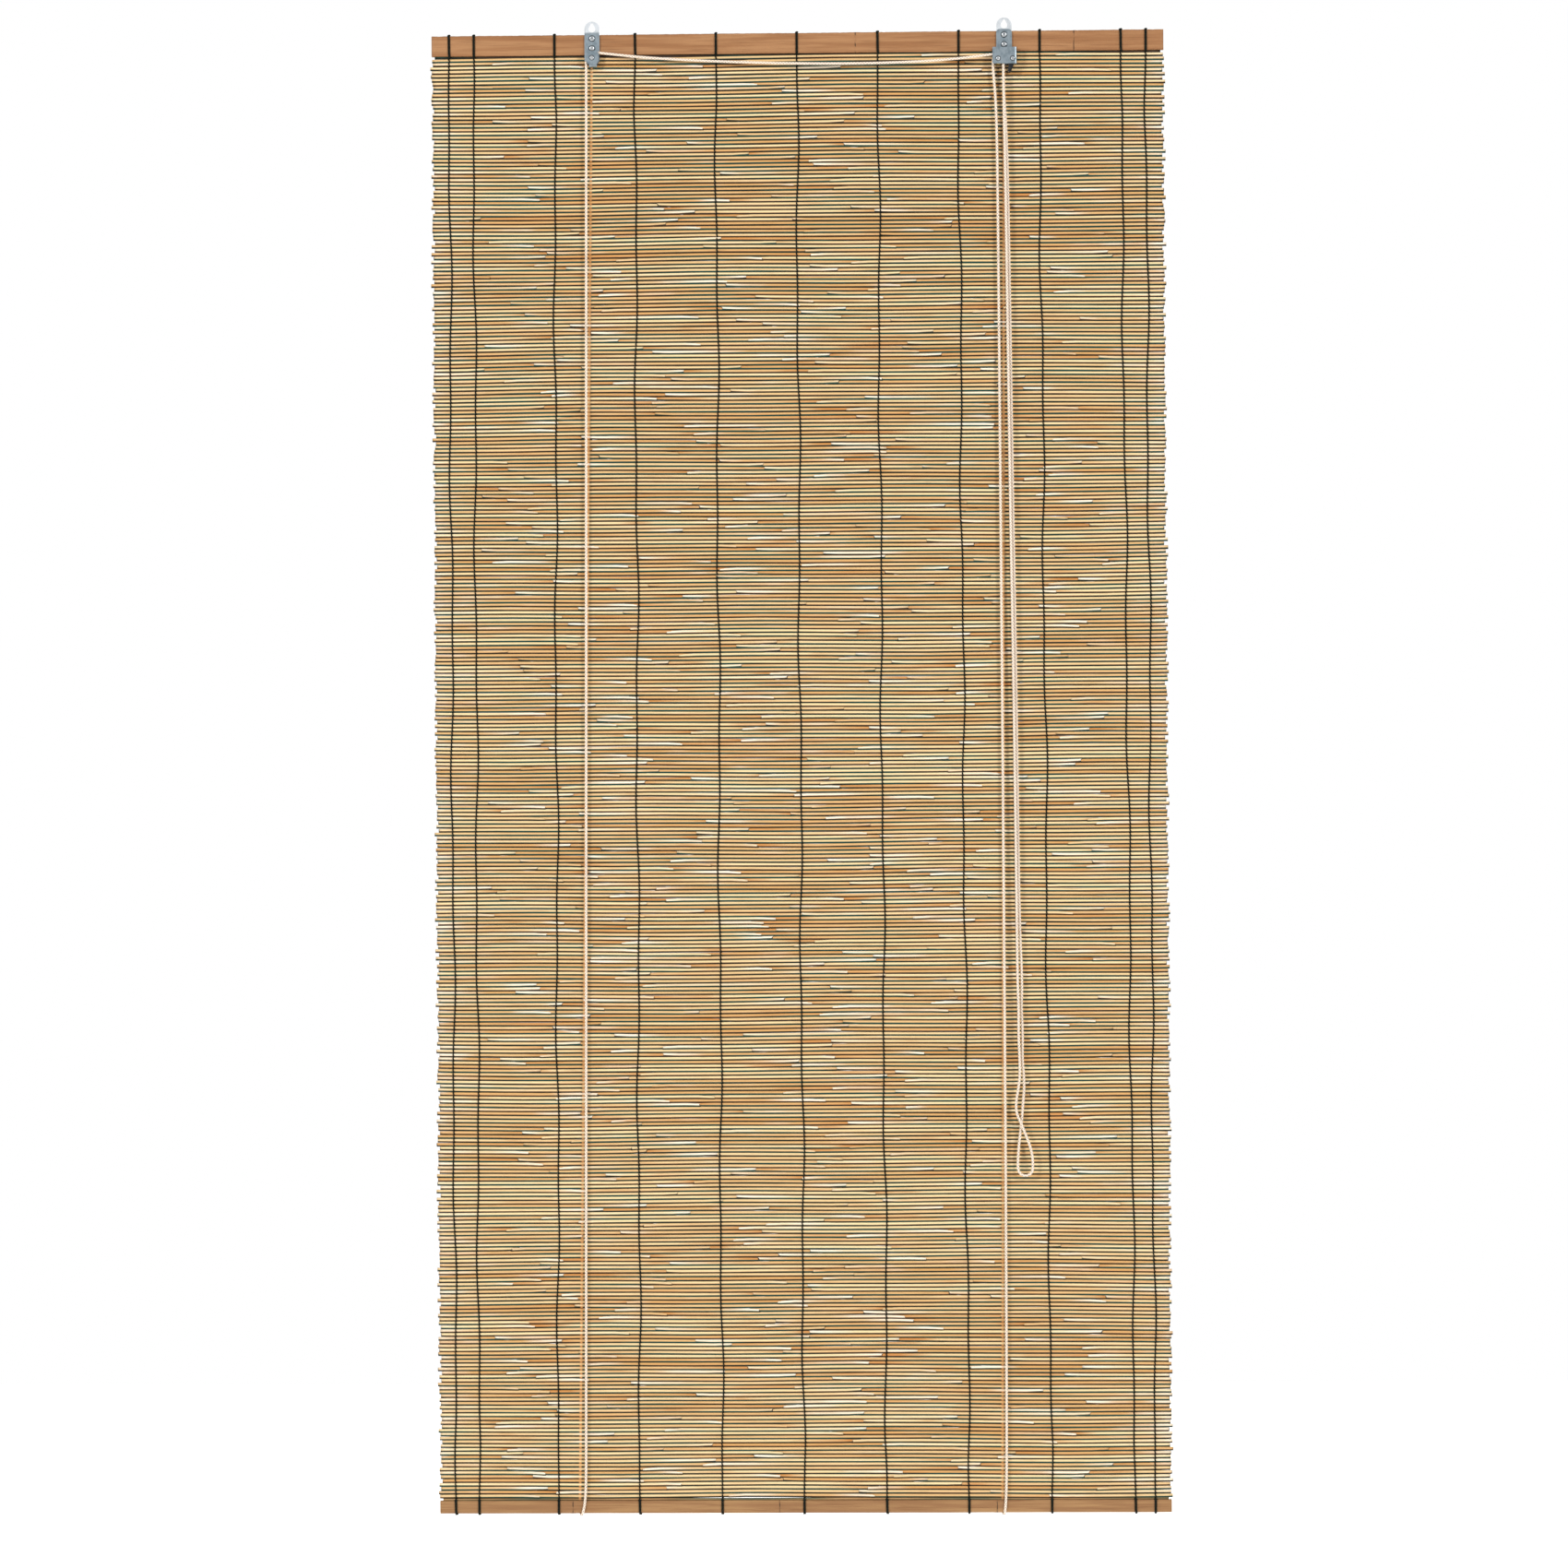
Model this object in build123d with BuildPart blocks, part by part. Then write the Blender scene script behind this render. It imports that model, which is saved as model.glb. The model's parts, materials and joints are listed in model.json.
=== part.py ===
from build123d import *
import math
import os

# A bamboo roll up blind, hanging fully lowered. X runs across the window, -Y points into the room
# and +Z up. The origin is on the hang line: midway between the two hanger eyes, at the height where
# a hook bears on them, in the middle plane of the reed mat. All sizes are in millimetres.

# The mat and its two rails
blind_width = 1000.0
headrail_height = 28.0
bottom_rail_height = 18.0
rail_thickness = 8.0
rail_edge_radius = 1.0
rail_gap = 2.6  # between a rail and the reeds, where the lashings pass
reed_diameter = 4.6
reed_pitch = 5.3
reed_stagger = 1.5  # every second reed sits this much to the right, the others to the left
eye_rise = 15.5  # from the headrail's top edge up to the hang line

# The mat hangs in bands of reeds that fold into a square coil as the blind is rolled up. Counted
# from the bottom rail, each side of the coil is one row longer than the side two before it.
band_count = 32
core_rows = 2  # in the last band, beside the bottom rail
first_even_rows = 5  # in the second band from the bottom rail
first_odd_rows = 4  # in the third band from the bottom rail
top_band_extra_rows = 5  # keep the rolled coil clear below the headrail

# The warp: threads in front of and behind the reeds, lashed round both rails
thread_diameter = 1.0
thread_clearance = 0.1
thread_pitch = 110.5
inner_thread_count = 9
edge_thread_x = 476.0
lashing_width = 4.0
lashing_thickness = 1.2
lashing_clearance = 0.1

# The cord and the sheaves it runs over
cord_diameter = 3.5
cord_clearance = 0.3
knot_radius = 3.9
sheave_width = 4.9
sheave_side_gap = 0.3
sheave_flange_height = 0.9  # above the middle of the cord
pulley_cord_radius = 8.0
lock_cord_radius = 7.0
axle_radius = 1.6
axle_clearance = 0.05
axle_head_radius = 2.7
axle_head_height = 0.9

# Pressed steel hardware on the headrail's front face
pulley_x = -280.0
lock_x = 283.0
hanger_thickness = 1.0
hanger_width = 20.6
hanger_bottom_z = -38.0
eye_top_radius = 2.0
eye_bottom_radius = 4.5
eye_length = 12.5
sheet_thickness = 1.2
plate_top_z = -12.7
plate_corner_radius = 6.0

pulley_axle_z = -48.0
pulley_plate_width = 20.6
pulley_cheek_width = 19.2
pulley_cheek_top_z = -38.1
pulley_fold_z = -57.0
pulley_fold_width = 10.7
pulley_fold_shift = 1.4
pulley_shoulder_height = 5.0

lock_axle_x = lock_x - 8.3
lock_axle_z = -55.0
lock_plate_width = 21.4
lock_left = 16.0  # from the plate's middle to the housing's open side
lock_right = 17.2  # from the plate's middle to the housing's folded side
lock_top_z = -39.4
lock_bottom_z = -62.0
lock_bend_radius = 2.5
lock_notch_radius = 1.3
lock_notch_x = lock_x - 7.0
cam_pin_x = lock_x + 11.5
cam_hub_radius = 3.8
cam_nose_radius = 2.2
cam_cord_gap = 0.35
cam_tail_radius = 2.2
cam_tail_x = lock_x + 7.0
cam_tail_z = -71.5

screw_radius = 1.6
screw_clearance = 0.05
screw_depth = 6.0  # into the headrail
screw_head_radius = 3.5
screw_head_height = 2.0
screw_recess_length = 3.8
screw_recess_width = 0.8
screw_recess_depth = 1.0
screw_heights = [-21.0, -34.5]

# Staples that hold the cord's two ends behind the headrail
staple_wire_radius = 0.8
staple_z = -34.0
staple_depth = 3.0  # into the headrail

# Heights and depths worked out from the sizes above. A depth is measured towards the room.
headrail_top_z = -eye_rise
headrail_bottom_z = headrail_top_z - headrail_height
mat_top_z = headrail_bottom_z - rail_gap
rail_face = rail_thickness / 2
plate_depth = rail_face + hanger_thickness
rear_sheave_depth = plate_depth + sheet_thickness + sheave_side_gap
front_sheave_depth = rear_sheave_depth + sheave_width + sheave_side_gap
pulley_cheek_depth = rear_sheave_depth + sheave_width + sheave_side_gap
lock_cheek_depth = front_sheave_depth + sheave_width + sheave_side_gap
cord_radius = cord_diameter / 2

os.makedirs("parts", exist_ok=True)


def rows_in_band(band):
    """The rows of reeds in a band, where band 1 hangs from the headrail."""
    place = band_count - band + 1  # 1 is the band beside the bottom rail
    if place == 1:
        return core_rows
    first_rows = first_even_rows if place % 2 == 0 else first_odd_rows
    rows = first_rows + (place - 2) // 2
    return rows + top_band_extra_rows if band == 1 else rows


def route_radii(route, tight):
    """A radius for each corner of a cord's route.

    tight gives, by the point's place in the route, the radius of the pulley or edge that the cord
    is pulled round. Any other radius is 0.45 of the shorter run divided by the tangent of half the
    turn. The radii of the loose corners are printed.
    """
    radii = []
    for place in range(1, len(route) - 1):
        before = Vector(*route[place]) - Vector(*route[place - 1])
        after = Vector(*route[place + 1]) - Vector(*route[place])
        half_turn = math.radians(before.get_angle(after)) / 2
        loose = 0.45 * min(before.length, after.length) / math.tan(half_turn)
        radii.append(tight.get(place, loose))
    print("smallest radius", round(min(radii), 1), "of", [round(radius) for radius in radii])
    return radii


def compare_volume(name, tube, length):
    """Prints a cord's volume beside its section times its length."""
    print(name, "length", round(length, 1), "volume", round(tube.volume), end=" ")
    print("section times length", round(math.pi * cord_radius**2 * length))


# Rails -------------------------------------------------------------------------------------------
# Flat slats of split bamboo, square cut at the ends.
with BuildPart() as headrail:
    with BuildSketch(Plane.YZ.offset(-blind_width / 2)):
        with Locations((0, headrail_top_z - headrail_height / 2)):
            RectangleRounded(rail_thickness, headrail_height, rail_edge_radius)
    extrude(amount=blind_width)
    with BuildSketch(Plane.XZ.offset(rail_face)):
        with Locations([(x, z) for x in (pulley_x, lock_x) for z in screw_heights]):
            Circle(screw_radius + screw_clearance)
    extrude(amount=-(screw_depth + screw_clearance), mode=Mode.SUBTRACT)
headrail.part.label = "headrail"
export_step(headrail.part, "parts/headrail.step")

mat_rows = sum(rows_in_band(band) for band in range(1, band_count + 1))
mat_bottom_z = mat_top_z - mat_rows * reed_pitch
bottom_rail_top_z = mat_bottom_z - rail_gap
bottom_rail_z = bottom_rail_top_z - bottom_rail_height

# The bottom rail's lower edge is fully rounded, where the lift cords pass under it.
with BuildPart() as bottom_rail:
    with BuildSketch(Plane.YZ.offset(-blind_width / 2)) as rail_section:
        with Locations((0, bottom_rail_top_z - bottom_rail_height / 2)):
            Rectangle(rail_thickness, bottom_rail_height)
        fillet(rail_section.vertices().group_by(Axis.Y)[-1], rail_edge_radius)
        fillet(rail_section.vertices().group_by(Axis.Y)[0], rail_thickness / 2 - 0.1)
    extrude(amount=blind_width)
bottom_rail.part.label = "bottom_rail"
export_step(bottom_rail.part, "parts/bottom_rail.step")

# Reeds -------------------------------------------------------------------------------------------
# Each band is a group of separate reeds, one above the other.
rows_above = 0
for band in range(1, band_count + 1):
    band_rows = range(rows_above, rows_above + rows_in_band(band))
    with BuildPart() as reed_band:
        for parity, stagger in ((0, -reed_stagger), (1, reed_stagger)):
            with BuildSketch(Plane.YZ.offset(stagger - blind_width / 2)):
                rows = [row for row in band_rows if row % 2 == parity]
                with Locations([(0, mat_top_z - (row + 0.5) * reed_pitch) for row in rows]):
                    Circle(reed_diameter / 2)
            extrude(amount=blind_width)
    reed_band.part.label = f"reed_band_{band:02d}"
    export_step(reed_band.part, f"parts/reed_band_{band:02d}.step")
    rows_above = rows_above + rows_in_band(band)

# Warp threads and lashings -----------------------------------------------------------------------
inner_reach = (inner_thread_count - 1) / 2
inner_threads = [(place - inner_reach) * thread_pitch for place in range(inner_thread_count)]
thread_xs = [-edge_thread_x, *inner_threads, edge_thread_x]
thread_y = reed_diameter / 2 + thread_clearance + thread_diameter / 2
lashing_reach = lashing_clearance + lashing_thickness
thread_top_z = headrail_bottom_z - lashing_reach
thread_bottom_z = bottom_rail_top_z + lashing_reach

with BuildPart() as warp_threads:
    with BuildSketch(Plane.XY.offset(thread_bottom_z)):
        with Locations([(x, y) for x in thread_xs for y in (-thread_y, thread_y)]):
            Circle(thread_diameter / 2)
    extrude(amount=thread_top_z - thread_bottom_z)
warp_threads.part.label = "warp_threads"
export_step(warp_threads.part, "parts/warp_threads.step")

# A lashing is a flat band of twine that wraps right round its rail.
for rail, rail_top_z, rail_height in (
    ("headrail", headrail_top_z, headrail_height),
    ("bottom_rail", bottom_rail_top_z, bottom_rail_height),
):
    rail_middle_z = rail_top_z - rail_height / 2
    with BuildPart() as lashings:
        for x in thread_xs:
            with BuildSketch(Plane.YZ.offset(x - lashing_width / 2)):
                with Locations((0, rail_middle_z)):
                    for reach, mode in ((lashing_reach, Mode.ADD), (lashing_clearance, Mode.SUBTRACT)):
                        width = rail_thickness + 2 * reach
                        height = rail_height + 2 * reach
                        RectangleRounded(width, height, rail_edge_radius + reach, mode=mode)
            extrude(amount=lashing_width)
    lashings.part.label = f"{rail}_lashings"
    export_step(lashings.part, f"parts/{rail}_lashings.step")

# Hangers -----------------------------------------------------------------------------------------
# A steel tongue under each bracket, rising above the headrail, with a teardrop eye for a hook.
for hanger_name, hanger_x in (("left_hanger", pulley_x), ("right_hanger", lock_x)):
    with BuildPart() as hanger:
        with BuildSketch(Plane.XZ.offset(rail_face)):
            with Locations((hanger_x, eye_bottom_radius - eye_length)):
                Circle(hanger_width / 2)
            tongue_height = eye_bottom_radius - eye_length - hanger_bottom_z
            with Locations((hanger_x, hanger_bottom_z + tongue_height / 2)):
                Rectangle(hanger_width, tongue_height)
        extrude(amount=hanger_thickness)
        with BuildSketch(Plane.XZ.offset(rail_face)):
            with Locations((hanger_x, -eye_top_radius)):
                Circle(eye_top_radius)
            with Locations((hanger_x, eye_bottom_radius - eye_length)):
                Circle(eye_bottom_radius)
            make_hull()
        extrude(amount=hanger_thickness, mode=Mode.SUBTRACT)
        with BuildSketch(Plane.XZ.offset(rail_face)):
            with Locations([(hanger_x, z) for z in screw_heights]):
                Circle(screw_radius + screw_clearance)
        extrude(amount=hanger_thickness, mode=Mode.SUBTRACT)
    hanger.part.label = hanger_name
    export_step(hanger.part, f"parts/{hanger_name}.step")

# Pulley bracket ----------------------------------------------------------------------------------
# One folded strip: a plate screwed to the rail, a fold under the sheave and a cheek in front of it.
fold_left = pulley_x + pulley_fold_shift - pulley_fold_width / 2
fold_right = fold_left + pulley_fold_width
fold_middle = (plate_depth + pulley_cheek_depth + sheet_thickness) / 2
fold_radius = fold_middle - plate_depth
with BuildPart() as pulley_bracket:
    for depth, width, top_z in (
        (plate_depth, pulley_plate_width, plate_top_z),
        (pulley_cheek_depth, pulley_cheek_width, pulley_cheek_top_z),
    ):
        with BuildSketch(Plane.XZ.offset(depth)) as cheek_outline:
            with BuildLine():
                Polyline(
                    (fold_left, pulley_fold_z),
                    (pulley_x - width / 2, pulley_fold_z + pulley_shoulder_height),
                    (pulley_x - width / 2, top_z),
                    (pulley_x + width / 2, top_z),
                    (pulley_x + width / 2, pulley_fold_z + pulley_shoulder_height),
                    (fold_right, pulley_fold_z),
                    close=True,
                )
            make_face()
            fillet(cheek_outline.vertices().group_by(Axis.Y)[-1], plate_corner_radius)
        extrude(amount=sheet_thickness)
    with BuildSketch(Plane.YZ.offset(fold_left)):
        with Locations((-fold_middle, pulley_fold_z)):
            Circle(fold_radius)
            Circle(fold_radius - sheet_thickness, mode=Mode.SUBTRACT)
        with Locations((-fold_middle, pulley_fold_z + fold_radius / 2)):
            Rectangle(2 * fold_radius, fold_radius, mode=Mode.SUBTRACT)
    extrude(amount=pulley_fold_width)
    with BuildSketch(Plane.XZ.offset(plate_depth)):
        with Locations((pulley_x, pulley_axle_z)):
            Circle(axle_radius + axle_clearance)
    extrude(amount=2 * fold_radius, mode=Mode.SUBTRACT)
    with BuildSketch(Plane.XZ.offset(plate_depth)):
        with Locations([(pulley_x, z) for z in screw_heights]):
            Circle(screw_radius + screw_clearance)
    extrude(amount=sheet_thickness, mode=Mode.SUBTRACT)
pulley_bracket.part.label = "pulley_bracket"
export_step(pulley_bracket.part, "parts/pulley_bracket.step")

# Cord lock housing -------------------------------------------------------------------------------
# One pressing: a plate screwed to the rail, folded at its right side into a U, open at the left,
# the top and the bottom, where the cords run through.
housing_height = lock_top_z - lock_bottom_z
housing_width = lock_left + lock_right
housing_middle_x = lock_x + (lock_right - lock_left) / 2
with BuildPart() as lock_housing:
    with BuildSketch(Plane.XY.offset(lock_bottom_z)) as outer_section:
        outer_depth = lock_cheek_depth + sheet_thickness - plate_depth
        with Locations((housing_middle_x, -plate_depth - outer_depth / 2)):
            Rectangle(housing_width, outer_depth)
        fillet(outer_section.vertices().group_by(Axis.X)[-1], lock_bend_radius)
    extrude(amount=housing_height)
    with BuildSketch(Plane.XY.offset(lock_bottom_z)) as inner_section:
        inner_depth = outer_depth - 2 * sheet_thickness
        with Locations((housing_middle_x - sheet_thickness, -plate_depth - outer_depth / 2)):
            Rectangle(housing_width, inner_depth)
        fillet(inner_section.vertices().group_by(Axis.X)[-1], lock_bend_radius - sheet_thickness)
    extrude(amount=housing_height, mode=Mode.SUBTRACT)
    with BuildSketch(Plane.XZ.offset(plate_depth)) as plate_outline:
        plate_height = plate_top_z - lock_top_z
        with Locations((lock_x, lock_top_z + plate_height / 2)):
            Rectangle(lock_plate_width, plate_height)
        fillet(plate_outline.vertices().group_by(Axis.Y)[-1], plate_corner_radius)
    extrude(amount=sheet_thickness)
    with BuildSketch(Plane.XZ.offset(plate_depth)):
        with Locations([(lock_x, z) for z in screw_heights]):
            Circle(screw_radius + screw_clearance)
    extrude(amount=sheet_thickness, mode=Mode.SUBTRACT)
    with BuildSketch(Plane.XZ.offset(plate_depth)):
        with Locations((lock_axle_x, lock_axle_z), (cam_pin_x, lock_axle_z)):
            Circle(axle_radius + axle_clearance)
    extrude(amount=outer_depth, mode=Mode.SUBTRACT)
    with BuildSketch(Plane.XZ.offset(lock_cheek_depth)):
        with Locations((lock_notch_x, lock_top_z)):
            Circle(lock_notch_radius)
    extrude(amount=sheet_thickness, mode=Mode.SUBTRACT)
lock_housing.part.label = "lock_housing"
export_step(lock_housing.part, "parts/lock_housing.step")

# Sheaves -----------------------------------------------------------------------------------------
# A turned wheel with a round bottomed groove, running on its axle.
for sheave_name, sheave_x, sheave_z, sheave_depth, run_radius in (
    ("pulley_sheave", pulley_x, pulley_axle_z, rear_sheave_depth, pulley_cord_radius),
    ("lock_rear_sheave", lock_axle_x, lock_axle_z, rear_sheave_depth, lock_cord_radius),
    ("lock_front_sheave", lock_axle_x, lock_axle_z, front_sheave_depth, lock_cord_radius),
):
    groove_half_width = cord_radius + cord_clearance
    groove_floor_radius = run_radius - groove_half_width
    with BuildPart() as sheave:
        with BuildSketch(Plane.XZ.offset(sheave_depth)):
            with Locations((sheave_x, sheave_z)):
                Circle(run_radius + sheave_flange_height)
                Circle(axle_radius + axle_clearance, mode=Mode.SUBTRACT)
        extrude(amount=sheave_width)
        with BuildSketch(Plane.XY.offset(sheave_z)) as groove:
            groove_reach = 2 * groove_half_width
            groove_x = sheave_x + groove_floor_radius + groove_reach / 2
            with Locations((groove_x, -sheave_depth - sheave_width / 2)):
                Rectangle(groove_reach, 2 * groove_half_width)
            fillet(groove.vertices().group_by(Axis.X)[0], groove_half_width - cord_clearance)
        revolve(axis=Axis((sheave_x, 0, sheave_z), (0, 1, 0)), mode=Mode.SUBTRACT)
    sheave.part.label = sheave_name
    export_step(sheave.part, f"parts/{sheave_name}.step")

# Axles and the cam's pin, riveted over the cheeks at both ends.
for axle_name, axle_x, axle_z, cheek_depth in (
    ("pulley_axle", pulley_x, pulley_axle_z, pulley_cheek_depth),
    ("lock_sheave_axle", lock_axle_x, lock_axle_z, lock_cheek_depth),
    ("lock_cam_pin", cam_pin_x, lock_axle_z, lock_cheek_depth),
):
    with BuildPart() as axle:
        with BuildSketch(Plane.XZ.offset(plate_depth - axle_head_height)):
            with Locations((axle_x, axle_z)):
                Circle(axle_head_radius)
        extrude(amount=axle_head_height)
        with BuildSketch(Plane.XZ.offset(plate_depth)):
            with Locations((axle_x, axle_z)):
                Circle(axle_radius)
        extrude(amount=cheek_depth + sheet_thickness - plate_depth)
        with BuildSketch(Plane.XZ.offset(cheek_depth + sheet_thickness)):
            with Locations((axle_x, axle_z)):
                Circle(axle_head_radius)
        extrude(amount=axle_head_height)
        fillet(axle.edges().group_by(Axis.Y)[0], axle_head_height / 2)
    axle.part.label = axle_name
    export_step(axle.part, f"parts/{axle_name}.step")

# Locking cam -------------------------------------------------------------------------------------
# Its nose presses both cords against the sheaves, and its tail hangs below the housing.
cord_right_x = lock_axle_x + lock_cord_radius + cord_radius
nose_reach = cam_pin_x - cord_right_x - cam_cord_gap
cam_width = 2 * sheave_width + sheave_side_gap
with BuildPart() as lock_cam:
    for lobe_x, lobe_z, lobe_radius in (
        (cam_pin_x - nose_reach + cam_nose_radius, lock_axle_z, cam_nose_radius),
        (cam_tail_x, cam_tail_z, cam_tail_radius),
    ):
        with BuildSketch(Plane.XZ.offset(rear_sheave_depth)):
            with Locations((cam_pin_x, lock_axle_z)):
                Circle(cam_hub_radius)
            with Locations((lobe_x, lobe_z)):
                Circle(lobe_radius)
            make_hull()
        extrude(amount=cam_width)
    with BuildSketch(Plane.XZ.offset(rear_sheave_depth)):
        with Locations((cam_pin_x, lock_axle_z)):
            Circle(axle_radius + axle_clearance)
    extrude(amount=cam_width, mode=Mode.SUBTRACT)
lock_cam.part.label = "lock_cam"
export_step(lock_cam.part, "parts/lock_cam.step")

# Screws ------------------------------------------------------------------------------------------
# Four pan head screws with cross recesses hold the hangers, the bracket and the lock.
screw_places = [(x, z) for x in (pulley_x, lock_x) for z in screw_heights]
screw_seat_depth = plate_depth + sheet_thickness
with BuildPart() as hardware_screws:
    with BuildSketch(Plane.XZ.offset(screw_seat_depth)):
        with Locations(screw_places):
            Circle(screw_head_radius)
    extrude(amount=screw_head_height)
    fillet(hardware_screws.edges().group_by(Axis.Y)[0], screw_head_height * 0.6)
    with BuildSketch(Plane.XZ.offset(screw_seat_depth)):
        with Locations(screw_places):
            Circle(screw_radius)
    extrude(amount=-(screw_seat_depth - rail_face + screw_depth))
    with BuildSketch(Plane.XZ.offset(screw_seat_depth + screw_head_height)):
        with Locations(screw_places):
            Rectangle(screw_recess_length, screw_recess_width)
            Rectangle(screw_recess_width, screw_recess_length)
    extrude(amount=-screw_recess_depth, mode=Mode.SUBTRACT)
hardware_screws.part.label = "hardware_screws"
export_step(hardware_screws.part, "parts/hardware_screws.step")

# Staples behind the headrail hold the cord's ends. Each end is knotted above its staple.
staple_half_width = cord_radius + cord_clearance + staple_wire_radius
staple_crown_y = rail_face + cord_diameter + 2 * cord_clearance + staple_wire_radius
with BuildPart() as cord_staples:
    for staple_x in (pulley_x, lock_x):
        with BuildLine() as staple_route:
            FilletPolyline(
                (staple_x - staple_half_width, rail_face - staple_depth, staple_z),
                (staple_x - staple_half_width, staple_crown_y, staple_z),
                (staple_x + staple_half_width, staple_crown_y, staple_z),
                (staple_x + staple_half_width, rail_face - staple_depth, staple_z),
                radius=staple_half_width / 2,
            )
        with BuildSketch(Plane(origin=staple_route.line @ 0, z_dir=staple_route.line % 0)):
            Circle(staple_wire_radius)
        sweep(path=staple_route.line)
cord_staples.part.label = "cord_staples"
export_step(cord_staples.part, "parts/cord_staples.step")

# Cords -------------------------------------------------------------------------------------------
# One braided cord runs from the left staple down behind the mat, round the bottom rail, up to the
# pulley, across to the lock, down and back up as the pull loop, through the lock again, down the
# right side, round the bottom rail and up to the right staple. It is modelled in four lengths.
cord_y = rail_face + cord_radius + cord_clearance
rear_sheave_y = -(rear_sheave_depth + sheave_width / 2)
front_sheave_y = -(front_sheave_depth + sheave_width / 2)
knot_y = rail_face + knot_radius + thread_clearance
under_rail_z = bottom_rail_z - cord_radius - cord_clearance
rail_turn_radius = 5.95
lift_meeting_z = -56.0
pull_meeting_z = -66.0
pulley_left_x = pulley_x - pulley_cord_radius
lock_left_x = lock_axle_x - lock_cord_radius
lock_right_x = lock_axle_x + lock_cord_radius

lift_left_points = [
    (pulley_x, cord_y, -24.0),
    (-308.3, cord_y, under_rail_z),
    (-305.0, -cord_y, under_rail_z),
    (-300.7, -6.2, -2021.0),
    (-299.6, -6.3, -1985.0),
    (-299.2, -6.5, -1925.0),
    (-289.3, -8.5, -285.0),
    (pulley_left_x, rear_sheave_y, -84.0),
    (pulley_left_x, rear_sheave_y, lift_meeting_z),
]
lift_right_points = [
    (lock_x, cord_y, -24.0),
    (269.4, cord_y, under_rail_z),
    (272.4, -cord_y, under_rail_z),
    (274.5, -6.2, -2012.0),
    (275.5, -6.5, -1940.0),
    (276.3, -7.1, -1538.0),
    (275.2, -8.0, -900.0),
    (273.2, -8.7, -205.0),
    (271.4, -8.9, -110.0),
    (lock_left_x, rear_sheave_y, -72.0),
    (lock_left_x, rear_sheave_y, lock_axle_z + lock_cord_radius),
    (lock_right_x, rear_sheave_y, lock_axle_z + lock_cord_radius),
    (lock_right_x, rear_sheave_y, pull_meeting_z),
]
cross_points = [
    (pulley_left_x, rear_sheave_y, lift_meeting_z),
    (pulley_left_x, rear_sheave_y, -39.03),
    (-210.0, -9.4, -48.0),
    (-150.0, -9.8, -52.2),
    (-90.0, -10.3, -55.4),
    (-30.0, -10.9, -57.7),
    (35.0, -11.5, -59.1),
    (100.0, -12.2, -59.3),
    (160.0, -12.9, -58.0),
    (215.0, front_sheave_y, -54.9),
    (lock_right_x, front_sheave_y, -47.14),
    (lock_right_x, front_sheave_y, pull_meeting_z),
]
pull_points = [
    (281.7, -14.15, -66.0),
    (281.7, -14.15, -96.0),
    (282.6, -14.0, -150.0),
    (284.0, -13.9, -250.0),
    (285.6, -13.7, -430.0),
    (287.9, -13.4, -683.0),
    (290.7, -13.2, -900.0),
    (292.2, -13.0, -1100.0),
    (293.3, -12.9, -1236.0),
    (293.7, -12.9, -1312.0),
    (295.0, -12.8, -1348.0),
    (294.6, -12.8, -1384.0),
    (296.0, -12.8, -1420.0),
    (296.3, -12.7, -1440.0),
    (294.0, -12.7, -1459.0),
    (290.6, -12.7, -1476.0),
    (291.0, -12.7, -1492.0),
    (297.4, -12.8, -1506.0),
    (303.4, -12.9, -1521.0),
    (308.4, -12.7, -1534.0),
    (311.8, -12.6, -1546.0),
    (313.1, -12.4, -1558.0),
    (313.2, -12.0, -1570.0),
    (309.4, -11.4, -1576.0),
    (303.0, -10.7, -1578.0),
    (296.6, -9.9, -1576.0),
    (292.8, -9.2, -1570.0),
    (292.9, -8.8, -1558.0),
    (293.6, -8.6, -1545.0),
    (295.2, -8.5, -1528.0),
    (297.9, -8.6, -1508.0),
    (299.8, -8.5, -1484.0),
    (302.0, -8.6, -1460.0),
    (301.4, -8.6, -1438.0),
    (299.5, -8.5, -1420.0),
    (300.4, -8.6, -1384.0),
    (298.6, -8.6, -1348.0),
    (300.1, -8.7, -1312.0),
    (296.9, -8.6, -1236.0),
    (295.6, -8.7, -1100.0),
    (294.2, -8.6, -900.0),
    (291.5, -8.7, -683.0),
    (289.2, -8.6, -430.0),
    (287.4, -8.7, -250.0),
    (285.4, -8.8, -150.0),
    (281.7, -8.95, -96.0),
    (281.7, -8.95, -66.0),
]

rail_turns = {1: rail_turn_radius, 2: rail_turn_radius}
sheave_turn_radius = lock_cord_radius - 0.01  # just under half the run over the rear sheave
for cord_name, points, tight_turns in (
    ("lift_cord_left", lift_left_points, rail_turns),
    ("lift_cord_right", lift_right_points, {**rail_turns, 10: sheave_turn_radius, 11: sheave_turn_radius}),
    ("cross_cord", cross_points, {1: pulley_cord_radius, 10: lock_cord_radius}),
    ("pull_cord", pull_points, {}),
):
    with BuildPart() as cord:
        with BuildLine() as cord_route:
            FilletPolyline(*points, radius=route_radii(points, tight_turns))
        with BuildSketch(Plane(origin=cord_route.line @ 0, z_dir=cord_route.line % 0)):
            Circle(cord_radius)
        sweep(path=cord_route.line)
        compare_volume(cord_name, cord.part, cord_route.wires()[0].length)
        if cord_name.startswith("lift"):
            with Locations((points[0][0], knot_y, points[0][2])):
                Sphere(knot_radius)
    cord.part.label = cord_name
    export_step(cord.part, f"parts/{cord_name}.step")

print("rows", mat_rows, "mat", round(mat_rows * reed_pitch, 1), "bottom", round(bottom_rail_z, 1))
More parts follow.
